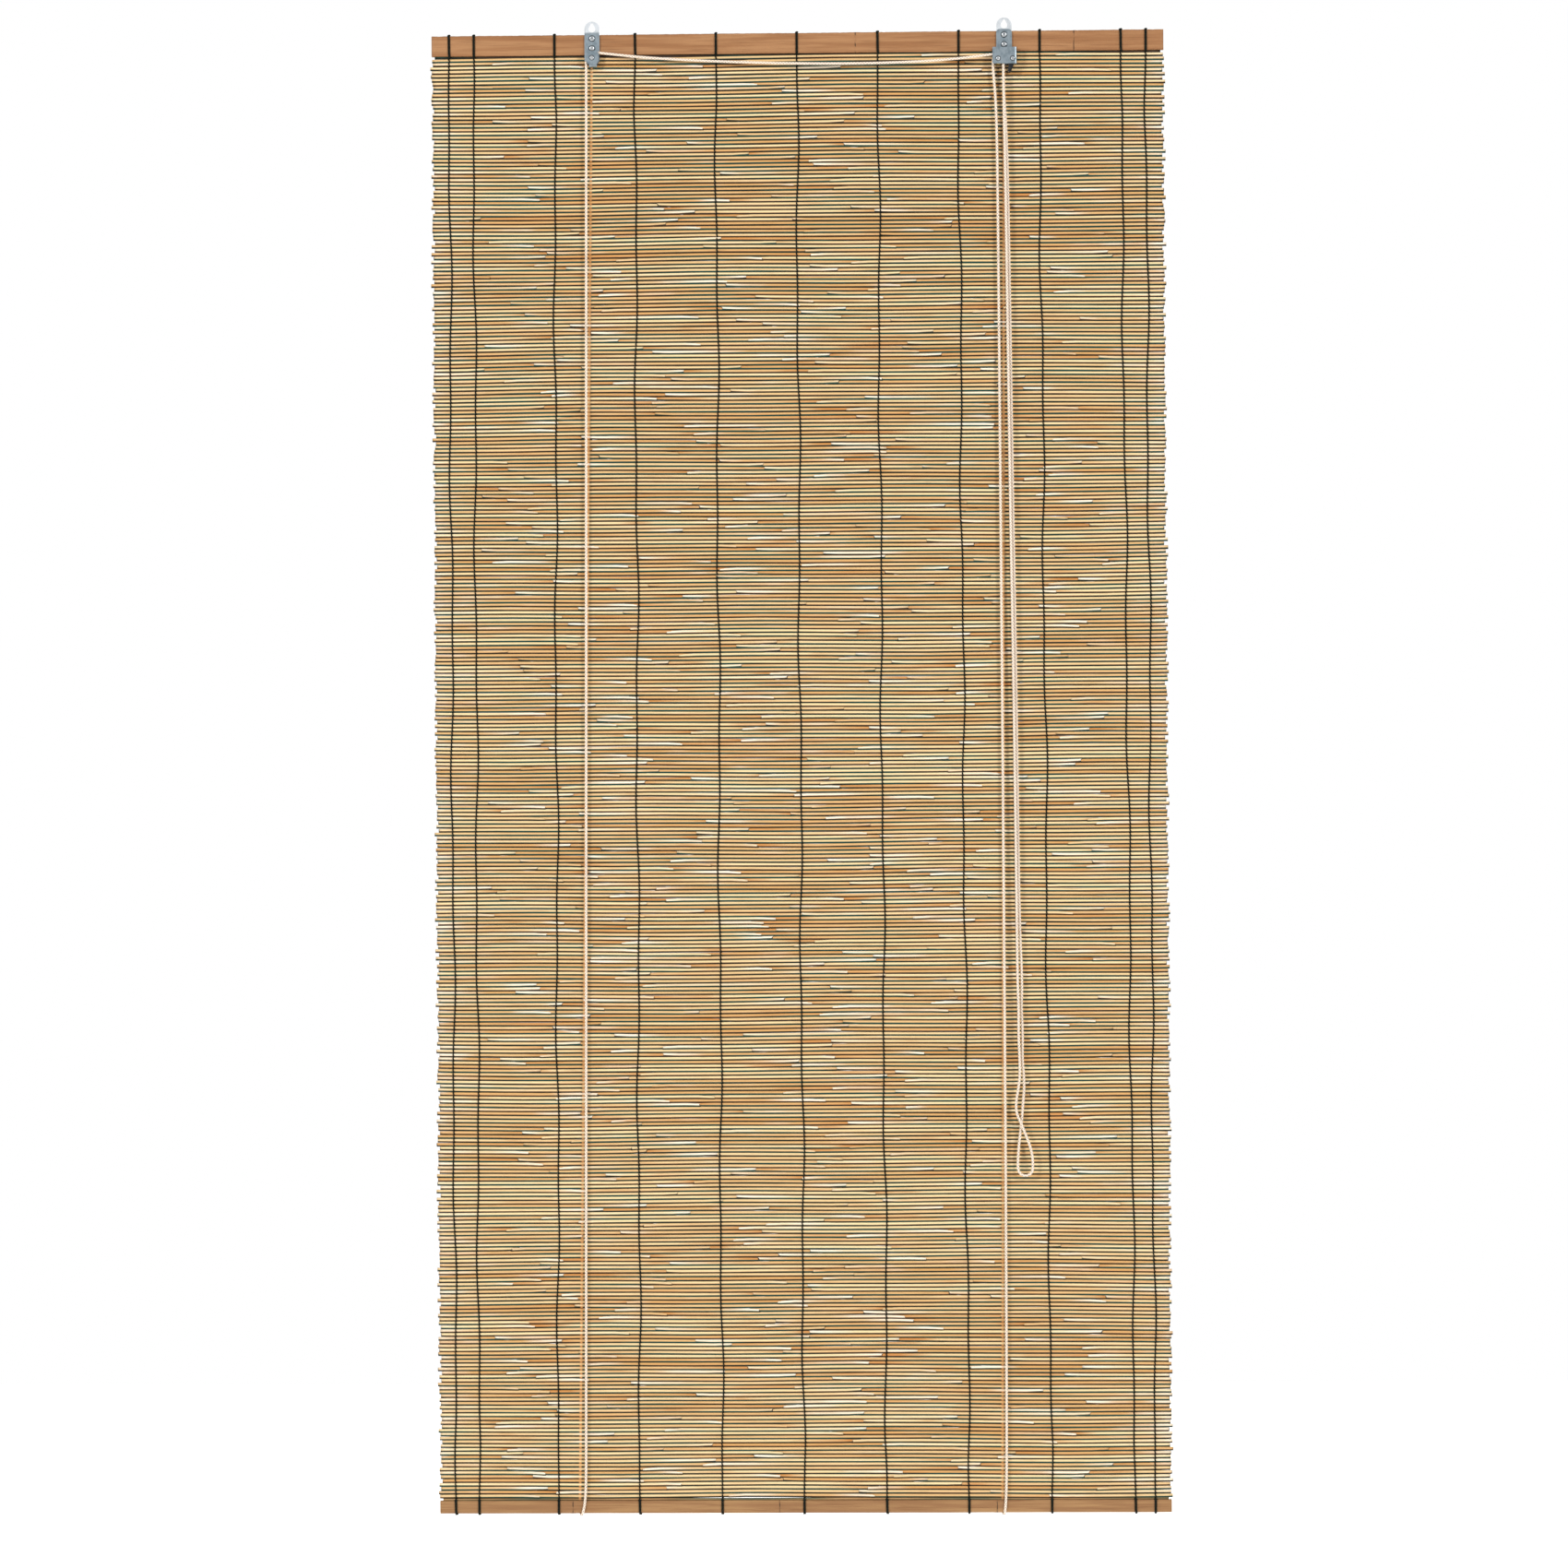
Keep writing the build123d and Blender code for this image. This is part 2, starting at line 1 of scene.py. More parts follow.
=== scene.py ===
"""A bamboo roll up blind, hanging fully lowered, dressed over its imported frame.

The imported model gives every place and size: two slat rails, the bands of reeds that fold into the roll, the
pressed hardware and the cord's routes. This script lays the finished surfaces over it: single reeds with
tapered, overlapping ends, twined warp threads, lashings, grained slats, braided cords and plated steel.
Lengths are metres, X runs across the window, -Y points into the room and +Z up, with the origin on the hang
line.
"""

import json
import logging
import math
from dataclasses import dataclass, field
from enum import Enum
from typing import Any, Sequence

import bpy
import numpy as np
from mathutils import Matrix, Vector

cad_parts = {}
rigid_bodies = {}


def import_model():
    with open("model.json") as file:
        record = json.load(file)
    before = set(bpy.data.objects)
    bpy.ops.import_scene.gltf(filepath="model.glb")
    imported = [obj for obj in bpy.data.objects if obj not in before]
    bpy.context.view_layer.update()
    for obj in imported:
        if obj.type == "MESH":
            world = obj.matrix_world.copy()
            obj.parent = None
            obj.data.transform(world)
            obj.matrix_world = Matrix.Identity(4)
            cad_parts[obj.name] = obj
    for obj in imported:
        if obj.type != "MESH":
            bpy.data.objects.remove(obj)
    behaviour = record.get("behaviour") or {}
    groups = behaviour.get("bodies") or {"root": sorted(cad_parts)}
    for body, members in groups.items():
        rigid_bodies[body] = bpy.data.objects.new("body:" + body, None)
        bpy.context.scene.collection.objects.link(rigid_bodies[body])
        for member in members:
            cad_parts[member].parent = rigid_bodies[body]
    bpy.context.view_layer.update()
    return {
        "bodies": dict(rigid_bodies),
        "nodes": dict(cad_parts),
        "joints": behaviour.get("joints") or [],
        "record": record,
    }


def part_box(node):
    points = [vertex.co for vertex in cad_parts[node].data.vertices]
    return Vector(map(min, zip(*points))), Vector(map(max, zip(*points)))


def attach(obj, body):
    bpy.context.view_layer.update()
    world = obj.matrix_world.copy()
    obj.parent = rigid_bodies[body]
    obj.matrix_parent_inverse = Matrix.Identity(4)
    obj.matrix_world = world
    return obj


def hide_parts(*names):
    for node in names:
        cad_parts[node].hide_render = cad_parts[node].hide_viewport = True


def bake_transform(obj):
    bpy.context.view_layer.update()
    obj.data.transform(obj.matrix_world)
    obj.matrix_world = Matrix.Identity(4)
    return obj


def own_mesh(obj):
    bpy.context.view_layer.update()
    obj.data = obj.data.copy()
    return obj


log = logging.getLogger("blind")

Pair = tuple[float, float]
Triple = tuple[float, float, float]
Route = Sequence[Triple]
Material = bpy.types.Material
Node = bpy.types.Node
Piece = bpy.types.Object
Socket = bpy.types.NodeSocket
Tree = bpy.types.NodeTree

MM = 0.001
TOUCHING = 1e-6  # two points nearer than this are one
BAND_COUNT = 32
ATTRIBUTE = "dressing"
WHITE = (1.0, 1.0, 1.0, 1.0)
ACROSS = (1.0, 0.0, 0.0)
OUTWARDS = (0.0, 1.0, 0.0)
UPWARDS = (0.0, 0.0, 1.0)


class Slot(Enum):
    """The record's material slots."""

    REED = "reed"
    RAIL = "rail"
    THREAD = "thread"
    CORD = "cord"


# Shader helpers -------------------------------------------------------------------------------


def linear(colour: str) -> tuple[float, float, float, float]:
    """Turns an sRGB hex colour into linear light.

    Args:
        colour: Six hex digits, such as "c8a070".

    Returns:
        Red, green and blue in linear light, and an alpha of 1.
    """
    channels = [int(colour[place : place + 2], 16) / 255 for place in (0, 2, 4)]
    red, green, blue = (c / 12.92 if c <= 0.04045 else ((c + 0.055) / 1.055) ** 2.4 for c in channels)
    return (red, green, blue, 1.0)


def add_node(tree: Tree, kind: str, inputs: dict[Any, Any] | None = None, **settings: Any) -> Node:
    """Adds one shader node.

    Args:
        tree: The node tree that it joins.
        kind: The node's type name, without its ShaderNode prefix.
        inputs: For each input socket, by name or number, a value, a hex colour or the socket to link.
        settings: The node's own settings, by name.

    Returns:
        The new node.
    """
    node = tree.nodes.new("ShaderNode" + kind)
    for name, value in settings.items():
        setattr(node, name, value)
    for key, value in (inputs or {}).items():
        if isinstance(value, Socket):
            tree.links.new(value, node.inputs[key])
        else:
            node.inputs[key].default_value = linear(value) if isinstance(value, str) else value
    return node


class Step(Enum):
    """The steps that a pattern is worked out in.

    Each is a node's type, its settings, the input sockets that take the step's values in order, and the
    output that carries the result.
    """

    PLACE = ("TexCoord", {}, (), "Object")
    WOUND = ("UVMap", {}, (), 0)
    SPLIT = ("SeparateXYZ", {}, (0,), 0)
    CHANNELS = ("SeparateColor", {}, (0,), 0)
    FLATTEN = ("CombineXYZ", {}, (0, 2), 0)
    ADD = ("Math", {"operation": "ADD"}, (0, 1), 0)
    SUBTRACT = ("Math", {"operation": "SUBTRACT"}, (0, 1), 0)
    MULTIPLY = ("Math", {"operation": "MULTIPLY"}, (0, 1), 0)
    MAXIMUM = ("Math", {"operation": "MAXIMUM"}, (0, 1), 0)
    ABSOLUTE = ("Math", {"operation": "ABSOLUTE"}, (0,), 0)
    SINE = ("Math", {"operation": "SINE"}, (0,), 0)
    DISTANCE = ("VectorMath", {"operation": "DISTANCE"}, (0, 1), "Value")
    BLEND = ("Mix", {"data_type": "RGBA"}, (0, 6, 7), 2)
    # A smooth step: 0 where the value is at the first bound and 1 where it is at the second.
    RAMP = ("MapRange", {"interpolation_type": "SMOOTHSTEP"}, ("Value", "From Min", "From Max"), 0)
    RANGE = ("MapRange", {}, ("Value", "From Min", "From Max", "To Min", "To Max"), 0)
    STRETCH = ("Mapping", {}, ("Vector", "Scale"), 0)
    NOISE = ("TexNoise", {"noise_dimensions": "4D"}, ("Vector", "W", "Scale", "Detail"), 0)
    BUMP = ("Bump", {}, ("Height", "Strength", "Distance"), 0)

    def on(self, tree: Tree, *values: Any) -> Socket:
        """Adds this step to a tree, from its values in order, and gives the socket of its result."""
        kind, settings, places, output = self.value
        return add_node(tree, kind, dict(zip(places, values)), **settings).outputs[output]


def stretched_noise(tree: Tree, grain_mm: Triple, offset: Any = 0.0, detail: float = 2.0) -> Socket:
    """Noise on Object coordinates whose blots measure grain_mm along X, Y and Z.

    Args:
        tree: The node tree that it joins.
        grain_mm: The size of one blot along each axis, in millimetres.
        offset: The noise's fourth coordinate, which tells pieces and patterns apart.
        detail: How many finer octaves are added.

    Returns:
        The noise, from 0 to 1.
    """
    scale = tuple(1 / (size * MM) for size in grain_mm)
    mapped = Step.STRETCH.on(tree, Step.PLACE.on(tree), scale)
    return Step.NOISE.on(tree, mapped, offset, 1.0, detail)


def shared_ramp(tree: Tree, value: Any, bounds: Pair, share: float) -> Socket:
    """A smooth step between two bounds that reaches share instead of 1."""
    return Step.MULTIPLY.on(tree, Step.RAMP.on(tree, value, *bounds), share)


def new_material(name: str, **shader_values: Any) -> tuple[Material, Tree, Node]:
    """Starts a material with one Principled shader.

    Args:
        name: The material's name.
        shader_values: Constants for the shader's own sockets, with _ for a space.

    Returns:
        The material, its node tree and its shader.
    """
    material = bpy.data.materials.new(name)
    material.use_nodes = True
    tree = material.node_tree
    tree.nodes.clear()
    values = {key.replace("_", " "): value for key, value in shader_values.items()}
    shader = add_node(tree, "BsdfPrincipled", values)
    add_node(tree, "OutputMaterial", {"Surface": shader.outputs[0]})
    return material, tree, shader


def finish_shader(
    tree: Tree, shader: Node, colour: Socket, roughness: Socket | None, relief: Socket, relief_mm: float
) -> None:
    """Links a shader's colour, roughness and relief.

    Args:
        tree: The material's node tree.
        shader: Its Principled shader.
        colour: The colour pattern.
        roughness: The roughness pattern, or None for the shader's own value.
        relief: The height pattern.
        relief_mm: How high the relief stands, in millimetres.
    """
    tree.links.new(colour, shader.inputs["Base Color"])
    if roughness is not None:
        tree.links.new(roughness, shader.inputs["Roughness"])
    tree.links.new(Step.BUMP.on(tree, relief, 1.0, relief_mm * MM), shader.inputs["Normal"])


# Finishes: each pair named _step holds the two bounds of a smooth step ------------------------


@dataclass(frozen=True)
class ReedFinish:
    """Peeled river reed, air dried and not varnished.

    The skin is a satin straw with lengthways fibres. Towards a tip that lies on top it turns cream, part
    bleaching and part painted highlight, and towards a tip that lies underneath it turns orange, painted
    shade under the tip above. Its lower side is painted shade, and the valley under each reed is painted
    shade, tinted brown, olive and green in patches.
    """

    # Partly painted highlight: this cream lightens a tip that lies on top, and also shows in random bleached
    # patches.
    cream: str = "fcecd3"
    straw: str = "f0d7a4"
    tan: str = "d3a062"
    # Partly painted shade: this orange darkens a tip that lies underneath, and also shows in random patches.
    toasted_and_tip_shade: str = "c98a4b"
    # Painted shade on the lower side of each reed: this brown in some patches, olive_shade in others.
    shade: str = "9c6127"
    olive_shade: str = "5f622b"
    fibre: str = "866439"
    # Painted shade: the near black inside of each reed's hollow end.
    hollow: str = "140f08"
    glimpse: str = "c98f58"
    # Painted shade: the dark valley line between rows, brown, olive and green in patches.
    valley: str = "2c1c0b"
    olive_valley: str = "12170a"
    green_valley: str = "053833"
    least_roughness: float = 0.38
    fibre_roughness: float = 0.25
    relief_mm: float = 0.25
    tone_spread: float = 61.0  # how far apart two reeds' patterns lie
    fibre_mm: Triple = (30.0, 1.2, 0.8)
    weather_mm: Triple = (95.0, 60.0, 60.0)
    # The patches that tint the painted shade and thicken the valley line.
    shade_patches_mm: Triple = (150.0, 60.0, 5.3)
    weather_share: float = 0.9
    toasted_and_shade_step: Pair = (0.5, 0.12)
    cream_step: Pair = (0.55, 0.95)
    fibre_step: Pair = (0.55, 0.8)
    fibre_share: float = 0.5
    # Where the painted shade on a reed's lower side turns olive.
    shade_olive_step: Pair = (0.42, 0.56)
    shade_step: Pair = (0.68, 0.24)
    shade_share: float = 0.72
    olive_step: Pair = (0.38, 0.47)
    green_step: Pair = (0.5, 0.58)
    valley_step: Pair = (0.41, 0.23)
    creep: float = -0.2
    cords_behind_mm: tuple[Pair, ...] = ((-280.0, -308.0), (283.0, 269.5))
    cord_drop_mm: float = 1995.0
    glimpse_mm: Pair = (2.4, 0.6)

    def cord_behind(self, tree: Tree) -> Socket:
        """Where a lift cord hangs behind the mat and shows between the reeds: 1 on its line, 0 away from it.

        Each line runs straight from its upper place to its lower place across the mat, over the cord's drop.

        Args:
            tree: The reeds' node tree.

        Returns:
            The pattern.
        """
        across, _, up = Step.SPLIT.on(tree, Step.PLACE.on(tree)).node.outputs
        seen: Any = 0.0
        for upper, lower in self.cords_behind_mm:
            lean = Step.MULTIPLY.on(tree, up, (upper - lower) / self.cord_drop_mm)
            place = Step.ADD.on(tree, lean, upper * MM)
            away = Step.ABSOLUTE.on(tree, Step.SUBTRACT.on(tree, across, place))
            near = Step.RAMP.on(tree, away, *(reach * MM for reach in self.glimpse_mm))
            seen = Step.MAXIMUM.on(tree, seen, near)
        return seen

    def colour_valley(self, tree: Tree, shade_patches: Socket) -> Socket:
        """The painted shade line under each reed: brown, olive and green in patches, and pale where a cord
        shows behind.

        Args:
            tree: The reeds' node tree.
            shade_patches: The patches that tint the painted shade.

        Returns:
            The line's colour.
        """
        olive = Step.RAMP.on(tree, shade_patches, *self.olive_step)
        valley = Step.BLEND.on(tree, olive, self.valley, self.olive_valley)
        green = Step.RAMP.on(tree, shade_patches, *self.green_step)
        valley = Step.BLEND.on(tree, green, valley, self.green_valley)
        return Step.BLEND.on(tree, self.cord_behind(tree), valley, self.glimpse)

    def build(self) -> Material:
        """Makes the material, which reads tone, tip bleaching and painted tip shading, height on the reed and
        painted hollow shade from the mesh.

        Returns:
            The material.
        """
        material, tree, shader = new_material("peeled_reed", Specular_IOR_Level=0.3)
        dressing = add_node(tree, "Attribute", attribute_name=ATTRIBUTE).outputs
        tone, bleach_and_tip_shading, height = Step.CHANNELS.on(tree, dressing["Color"]).node.outputs
        offset = Step.MULTIPLY.on(tree, tone, self.tone_spread)
        fibre = stretched_noise(tree, self.fibre_mm, offset, detail=3.0)
        stretch = stretched_noise(tree, self.weather_mm, offset)
        shade_patches = stretched_noise(tree, self.shade_patches_mm, offset=3.0, detail=1.0)
        patchy = Step.MULTIPLY.on(tree, Step.SUBTRACT.on(tree, stretch, 0.5), self.weather_share)
        # worn is random weathering plus the tips' bleaching and painted light and shade: orange towards a tip
        # underneath as painted shade, cream towards a tip on top as part bleaching and part painted
        # highlight.
        worn = Step.ADD.on(tree, bleach_and_tip_shading, patchy)
        skin = Step.BLEND.on(tree, tone, self.straw, self.tan)
        skin = Step.BLEND.on(tree, Step.RAMP.on(tree, worn, *self.toasted_and_shade_step), skin, self.toasted_and_tip_shade)
        skin = Step.BLEND.on(tree, Step.RAMP.on(tree, worn, *self.cream_step), skin, self.cream)
        lines = shared_ramp(tree, fibre, self.fibre_step, self.fibre_share)
        skin = Step.BLEND.on(tree, lines, skin, self.fibre)
        # Painted shade: the lower half of each reed, turned away from the light, is darkened brown in some
        # patches and olive in others.
        shade_olive = Step.RAMP.on(tree, shade_patches, *self.shade_olive_step)
        shade = Step.BLEND.on(tree, shade_olive, self.shade, self.olive_shade)
        turned = shared_ramp(tree, height, self.shade_step, self.shade_share)
        skin = Step.BLEND.on(tree, turned, skin, shade)
        # Painted shade: the dark valley line covers the lowest fifth of what shows of a reed, and creeps
        # higher in some patches.
        valley = self.colour_valley(tree, shade_patches)
        level = Step.ADD.on(tree, height, Step.MULTIPLY.on(tree, shade_patches, self.creep))
        skin = Step.BLEND.on(tree, Step.RAMP.on(tree, level, *self.valley_step), skin, valley)
        # Painted shade: the hollow at each reed's end turns near black.
        skin = Step.BLEND.on(tree, dressing["Alpha"], skin, self.hollow)
        rough = Step.MULTIPLY.on(tree, fibre, self.fibre_roughness)
        rough = Step.ADD.on(tree, rough, self.least_roughness)
        finish_shader(tree, shader, skin, rough, fibre, self.relief_mm)
        return material


@dataclass(frozen=True)
class SlatFinish:
    """Split bamboo slat, planed and left bare.

    Fibre bundles run lengthways as fine darker lines. At each node of the culm a dark streak crosses part of
    the slat.
    """

    light: str = "a3764e"
    body: str = "91633d"
    line: str = "6d4526"
    mark: str = "2a190d"
    broad_mm: Triple = (120.0, 9.0, 6.0)
    line_mm: Triple = (55.0, 0.9, 0.9)
    blot_mm: Triple = (2.2, 4.0, 7.0)
    fleck_mm: Triple = (2.6, 1.0, 1.0)
    light_step: Pair = (0.35, 0.65)
    line_step: Pair = (0.5, 0.72)
    line_share: float = 0.62
    blot_step: Pair = (0.42, 0.54)
    fleck_step: Pair = (0.76, 0.82)
    fleck_share: float = 0.7
    least_roughness: float = 0.48
    line_roughness: float = 0.2
    relief_mm: float = 0.3
    node_places_mm: tuple[float, ...] = (-222.0, 80.0, 378.0)
    node_width_mm: float = 1.3

    def node_streaks(self, tree: Tree) -> Socket:
        """Where the culm's nodes cross the slat: 1 on a node's line, falling to 0 over its width.

        Args:
            tree: The slat's node tree.

        Returns:
            The pattern.
        """
        along = Step.SPLIT.on(tree, Step.PLACE.on(tree))
        streaks: Any = 0.0
        for node_place in self.node_places_mm:
            away = Step.ABSOLUTE.on(tree, Step.SUBTRACT.on(tree, along, node_place * MM))
            near = Step.RAMP.on(tree, away, self.node_width_mm * MM, 0.0)
            streaks = Step.MAXIMUM.on(tree, streaks, near)
        return streaks

    def build(self) -> Material:
        """Makes the material on Object coordinates, in millimetres along the slat.

        Returns:
            The material.
        """
        material, tree, shader = new_material("bare_bamboo_slat", Specular_IOR_Level=0.3)
        broad = stretched_noise(tree, self.broad_mm, offset=1.0)
        line = stretched_noise(tree, self.line_mm, offset=2.0, detail=4.0)
        blot = stretched_noise(tree, self.blot_mm, offset=5.0, detail=3.0)
        fleck = stretched_noise(tree, self.fleck_mm, offset=9.0, detail=1.0)
        colour = Step.BLEND.on(tree, Step.RAMP.on(tree, broad, *self.light_step), self.body, self.light)
        lines = shared_ramp(tree, line, self.line_step, self.line_share)
        colour = Step.BLEND.on(tree, lines, colour, self.line)
        broken = Step.RAMP.on(tree, blot, *self.blot_step)
        streaks = Step.MULTIPLY.on(tree, self.node_streaks(tree), broken)
        colour = Step.BLEND.on(tree, streaks, colour, self.mark)
        flecks = shared_ramp(tree, fleck, self.fleck_step, self.fleck_share)
        colour = Step.BLEND.on(tree, flecks, colour, self.mark)
        rough = Step.MULTIPLY.on(tree, line, self.line_roughness)
        rough = Step.ADD.on(tree, rough, self.least_roughness)
        finish_shader(tree, shader, colour, rough, line, self.relief_mm)
        return material


@dataclass(frozen=True)
class TwineFinish:
    """Dyed cotton twine, hard laid.

    Nearly black green, with the lay's ridges catching a little light and worn pale fibres on top.
    """

    dark: str = "0c110c"
    ridge: str = "2c352a"
    lay_mm: float = 1.6
    fuzz_mm: Triple = (0.9, 0.9, 1.4)
    lay_step: Pair = (-0.2, 1.0)
    fuzz_step: Pair = (0.4, 0.75)
    relief_mm: float = 0.12

    def build(self) -> Material:
        """Makes the material on the piece's UV, in metres along the twine.

        Returns:
            The material.
        """
        material, tree, shader = new_material("dyed_cotton_twine", Roughness=0.82, Specular_IOR_Level=0.15)
        around, along, _ = Step.SPLIT.on(tree, Step.WOUND.on(tree)).node.outputs
        turn = Step.MULTIPLY.on(tree, along, math.tau / (self.lay_mm * MM))
        lay = Step.SINE.on(tree, Step.ADD.on(tree, turn, Step.MULTIPLY.on(tree, around, math.tau)))
        fuzz = stretched_noise(tree, self.fuzz_mm, offset=4.0)
        worn = Step.RAMP.on(tree, fuzz, *self.fuzz_step)
        share = Step.MULTIPLY.on(tree, Step.RAMP.on(tree, lay, *self.lay_step), worn)
        colour = Step.BLEND.on(tree, share, self.dark, self.ridge)
        finish_shader(tree, shader, colour, None, lay, self.relief_mm)
        return material


@dataclass(frozen=True)
class BraidFinish:
    """Braided polyester blind cord.

    Plaits cross in small diamonds, ivory on top with painted shade in the warm grey dips, and a soft sheen.
    One diamond is drawn twice as coarse as the real braid's, so that it shows.
    """

    top: str = "f2e2d0"
    # Painted shade in the braid's dips; the same colour marks the soiling.
    dip_shade_and_soil: str = "a98f78"
    plait_mm: float = 4.4
    plaits_round: float = 3.0
    soil_mm: Triple = (14.0, 14.0, 60.0)
    weave_step: Pair = (-0.5, 0.55)
    soil_step: Pair = (0.5, 0.8)
    soil_share: float = 0.25
    relief_mm: float = 0.22

    def build(self) -> Material:
        """Makes the material on the piece's UV: once round, and metres along the cord.

        Returns:
            The material.
        """
        material, tree, shader = new_material("braided_polyester", Roughness=0.62, Sheen_Weight=0.15)
        turned, far, _ = Step.SPLIT.on(tree, Step.WOUND.on(tree)).node.outputs
        around = Step.MULTIPLY.on(tree, turned, math.tau * self.plaits_round)
        along = Step.MULTIPLY.on(tree, far, math.tau / (self.plait_mm * MM))
        left = Step.SINE.on(tree, Step.ADD.on(tree, along, around))
        right = Step.SINE.on(tree, Step.SUBTRACT.on(tree, along, around))
        weave = Step.MAXIMUM.on(tree, left, right)
        # Painted shade: the dips between plaits are darker.
        colour = Step.BLEND.on(tree, Step.RAMP.on(tree, weave, *self.weave_step), self.dip_shade_and_soil, self.top)
        soil = stretched_noise(tree, self.soil_mm, offset=2.0)
        soiled = shared_ramp(tree, soil, self.soil_step, self.soil_share)
        colour = Step.BLEND.on(tree, soiled, colour, self.dip_shade_and_soil)
        finish_shader(tree, shader, colour, None, weave, self.relief_mm)
        return material


@dataclass(frozen=True)
class MetalFinish:
    """A worked metal: pressed, plated, turned or blackened.

    Fine scratches and stains vary the gloss, and a broad cloud varies the colour, as on small stock
    hardware. A plate is painted pale above a height, a painted highlight, and a ring of painted shade
    darkens round each fastener, which is given by its place across, its height and its head's radius.
    """

    name: str
    bright: str
    dull: str
    gloss: Pair
    metallic: float = 1.0
    scratch_mm: Triple = (0.5, 2.0, 6.0)
    cloud_mm: Triple = (7.0, 7.0, 9.0)
    dull_step: Pair = (0.35, 0.68)
    # Painted highlight: above this height a plate is painted pale.
    highlight_from_mm: float | None = None
    highlight_fade_mm: float = 2.0
    highlight_colour: str = "e6ebef"
    fasteners_mm: tuple[Triple, ...] = ()
    # Painted shade: a dark ring round each fastener's head.
    fastener_shade: str = "15181a"
    fastener_shade_reach_mm: Pair = (1.5, 0.4)
    fastener_shade_share: float = 0.85
    wear_shares: Pair = (0.6, 0.4)
    wear_range: Pair = (0.3, 0.7)
    relief_mm: float = 0.012

    def build(self) -> Material:
        """Makes the material on Object coordinates.

        Returns:
            The material.
        """
        material, tree, shader = new_material(self.name, Metallic=self.metallic)
        cloud = stretched_noise(tree, self.cloud_mm, offset=1.0, detail=3.0)
        scratch = stretched_noise(tree, self.scratch_mm, offset=6.0, detail=3.0)
        colour = Step.BLEND.on(tree, Step.RAMP.on(tree, cloud, *self.dull_step), self.bright, self.dull)
        across, _, up = Step.SPLIT.on(tree, Step.PLACE.on(tree)).node.outputs
        # Painted highlight: the plate turns pale above a height.
        if self.highlight_from_mm is not None:
            edge, fade = self.highlight_from_mm * MM, self.highlight_fade_mm * MM
            highlighted = Step.RAMP.on(tree, up, edge - fade, edge + fade)
            colour = Step.BLEND.on(tree, highlighted, colour, self.highlight_colour)
        # Painted shade: a dark ring round each fastener's head.
        for place, height, radius in self.fasteners_mm:
            middle = (place * MM, 0.0, height * MM)
            away = Step.DISTANCE.on(tree, Step.FLATTEN.on(tree, across, up), middle)
            bounds = [(radius + reach) * MM for reach in self.fastener_shade_reach_mm]
            fastener_shade_ring = shared_ramp(tree, away, bounds, self.fastener_shade_share)
            colour = Step.BLEND.on(tree, fastener_shade_ring, colour, self.fastener_shade)
        shares = zip((cloud, scratch), self.wear_shares)
        worn = Step.ADD.on(tree, *(Step.MULTIPLY.on(tree, pattern, share) for pattern, share in shares))
        rough = Step.RANGE.on(tree, worn, *self.wear_range, *self.gloss)
        finish_shader(tree, shader, colour, rough, scratch, self.relief_mm)
        return material


@dataclass(frozen=True)
class FloorFinish:
    """Matt white painted floor with a faint roller texture."""

    light: str = "fbfbfa"
    dark: str = "f3f3f1"
    cloud_mm: Triple = (300.0, 300.0, 300.0)
    glow: float = 0.32
    relief_mm: float = 0.2

    def build(self) -> Material:
        """Makes the material on Object coordinates.

        Returns:
            The material.
        """
        values = {"Roughness": 0.9, "Emission_Color": WHITE, "Emission_Strength": self.glow}
        material, tree, shader = new_material("matt_white_paint", **values)
        cloud = stretched_noise(tree, self.cloud_mm, offset=1.0)
        colour = Step.BLEND.on(tree, cloud, self.light, self.dark)
        finish_shader(tree, shader, colour, None, cloud, self.relief_mm)
        return material


FASTENERS_MM = (
    *((across, height, 3.5) for across in (-280.0, 283.0) for height in (-21.0, -34.5)),
    (-280.0, -48.0, 2.7),
    (274.7, -55.0, 2.7),
    (294.5, -55.0, 2.7),
)
PLATED_GLOSS = (0.3, 0.5)
# Painted highlight: this zinc turns pale above 13 mm below the hang line.
ZINC = MetalFinish(
    "zinc_plated_steel", "a6b3bb", "7f8c94", PLATED_GLOSS, highlight_from_mm=-13.0, fasteners_mm=FASTENERS_MM
)
# Painted highlight: the right hanger wears a lighter copy of the zinc, paler still above 40 mm below the hang
# line.
HIGHLIGHTED_ZINC = MetalFinish(
    "highlighted_zinc_steel", "dfe5e9", "b4bdc4", PLATED_GLOSS, highlight_from_mm=-40.0, fasteners_mm=FASTENERS_MM
)
RIVET = MetalFinish("bright_rivet_steel", "f2f5f7", "b9c0c6", (0.16, 0.34))
BRASS = MetalFinish("turned_brass", "cdb06a", "8d7640", (0.22, 0.42), scratch_mm=(0.4, 8.0, 0.4))
BLACKENED = MetalFinish("blackened_steel", "3b3c3e", "222325", (0.38, 0.6), metallic=0.85)


# Mesh helpers ---------------------------------------------------------------------------------


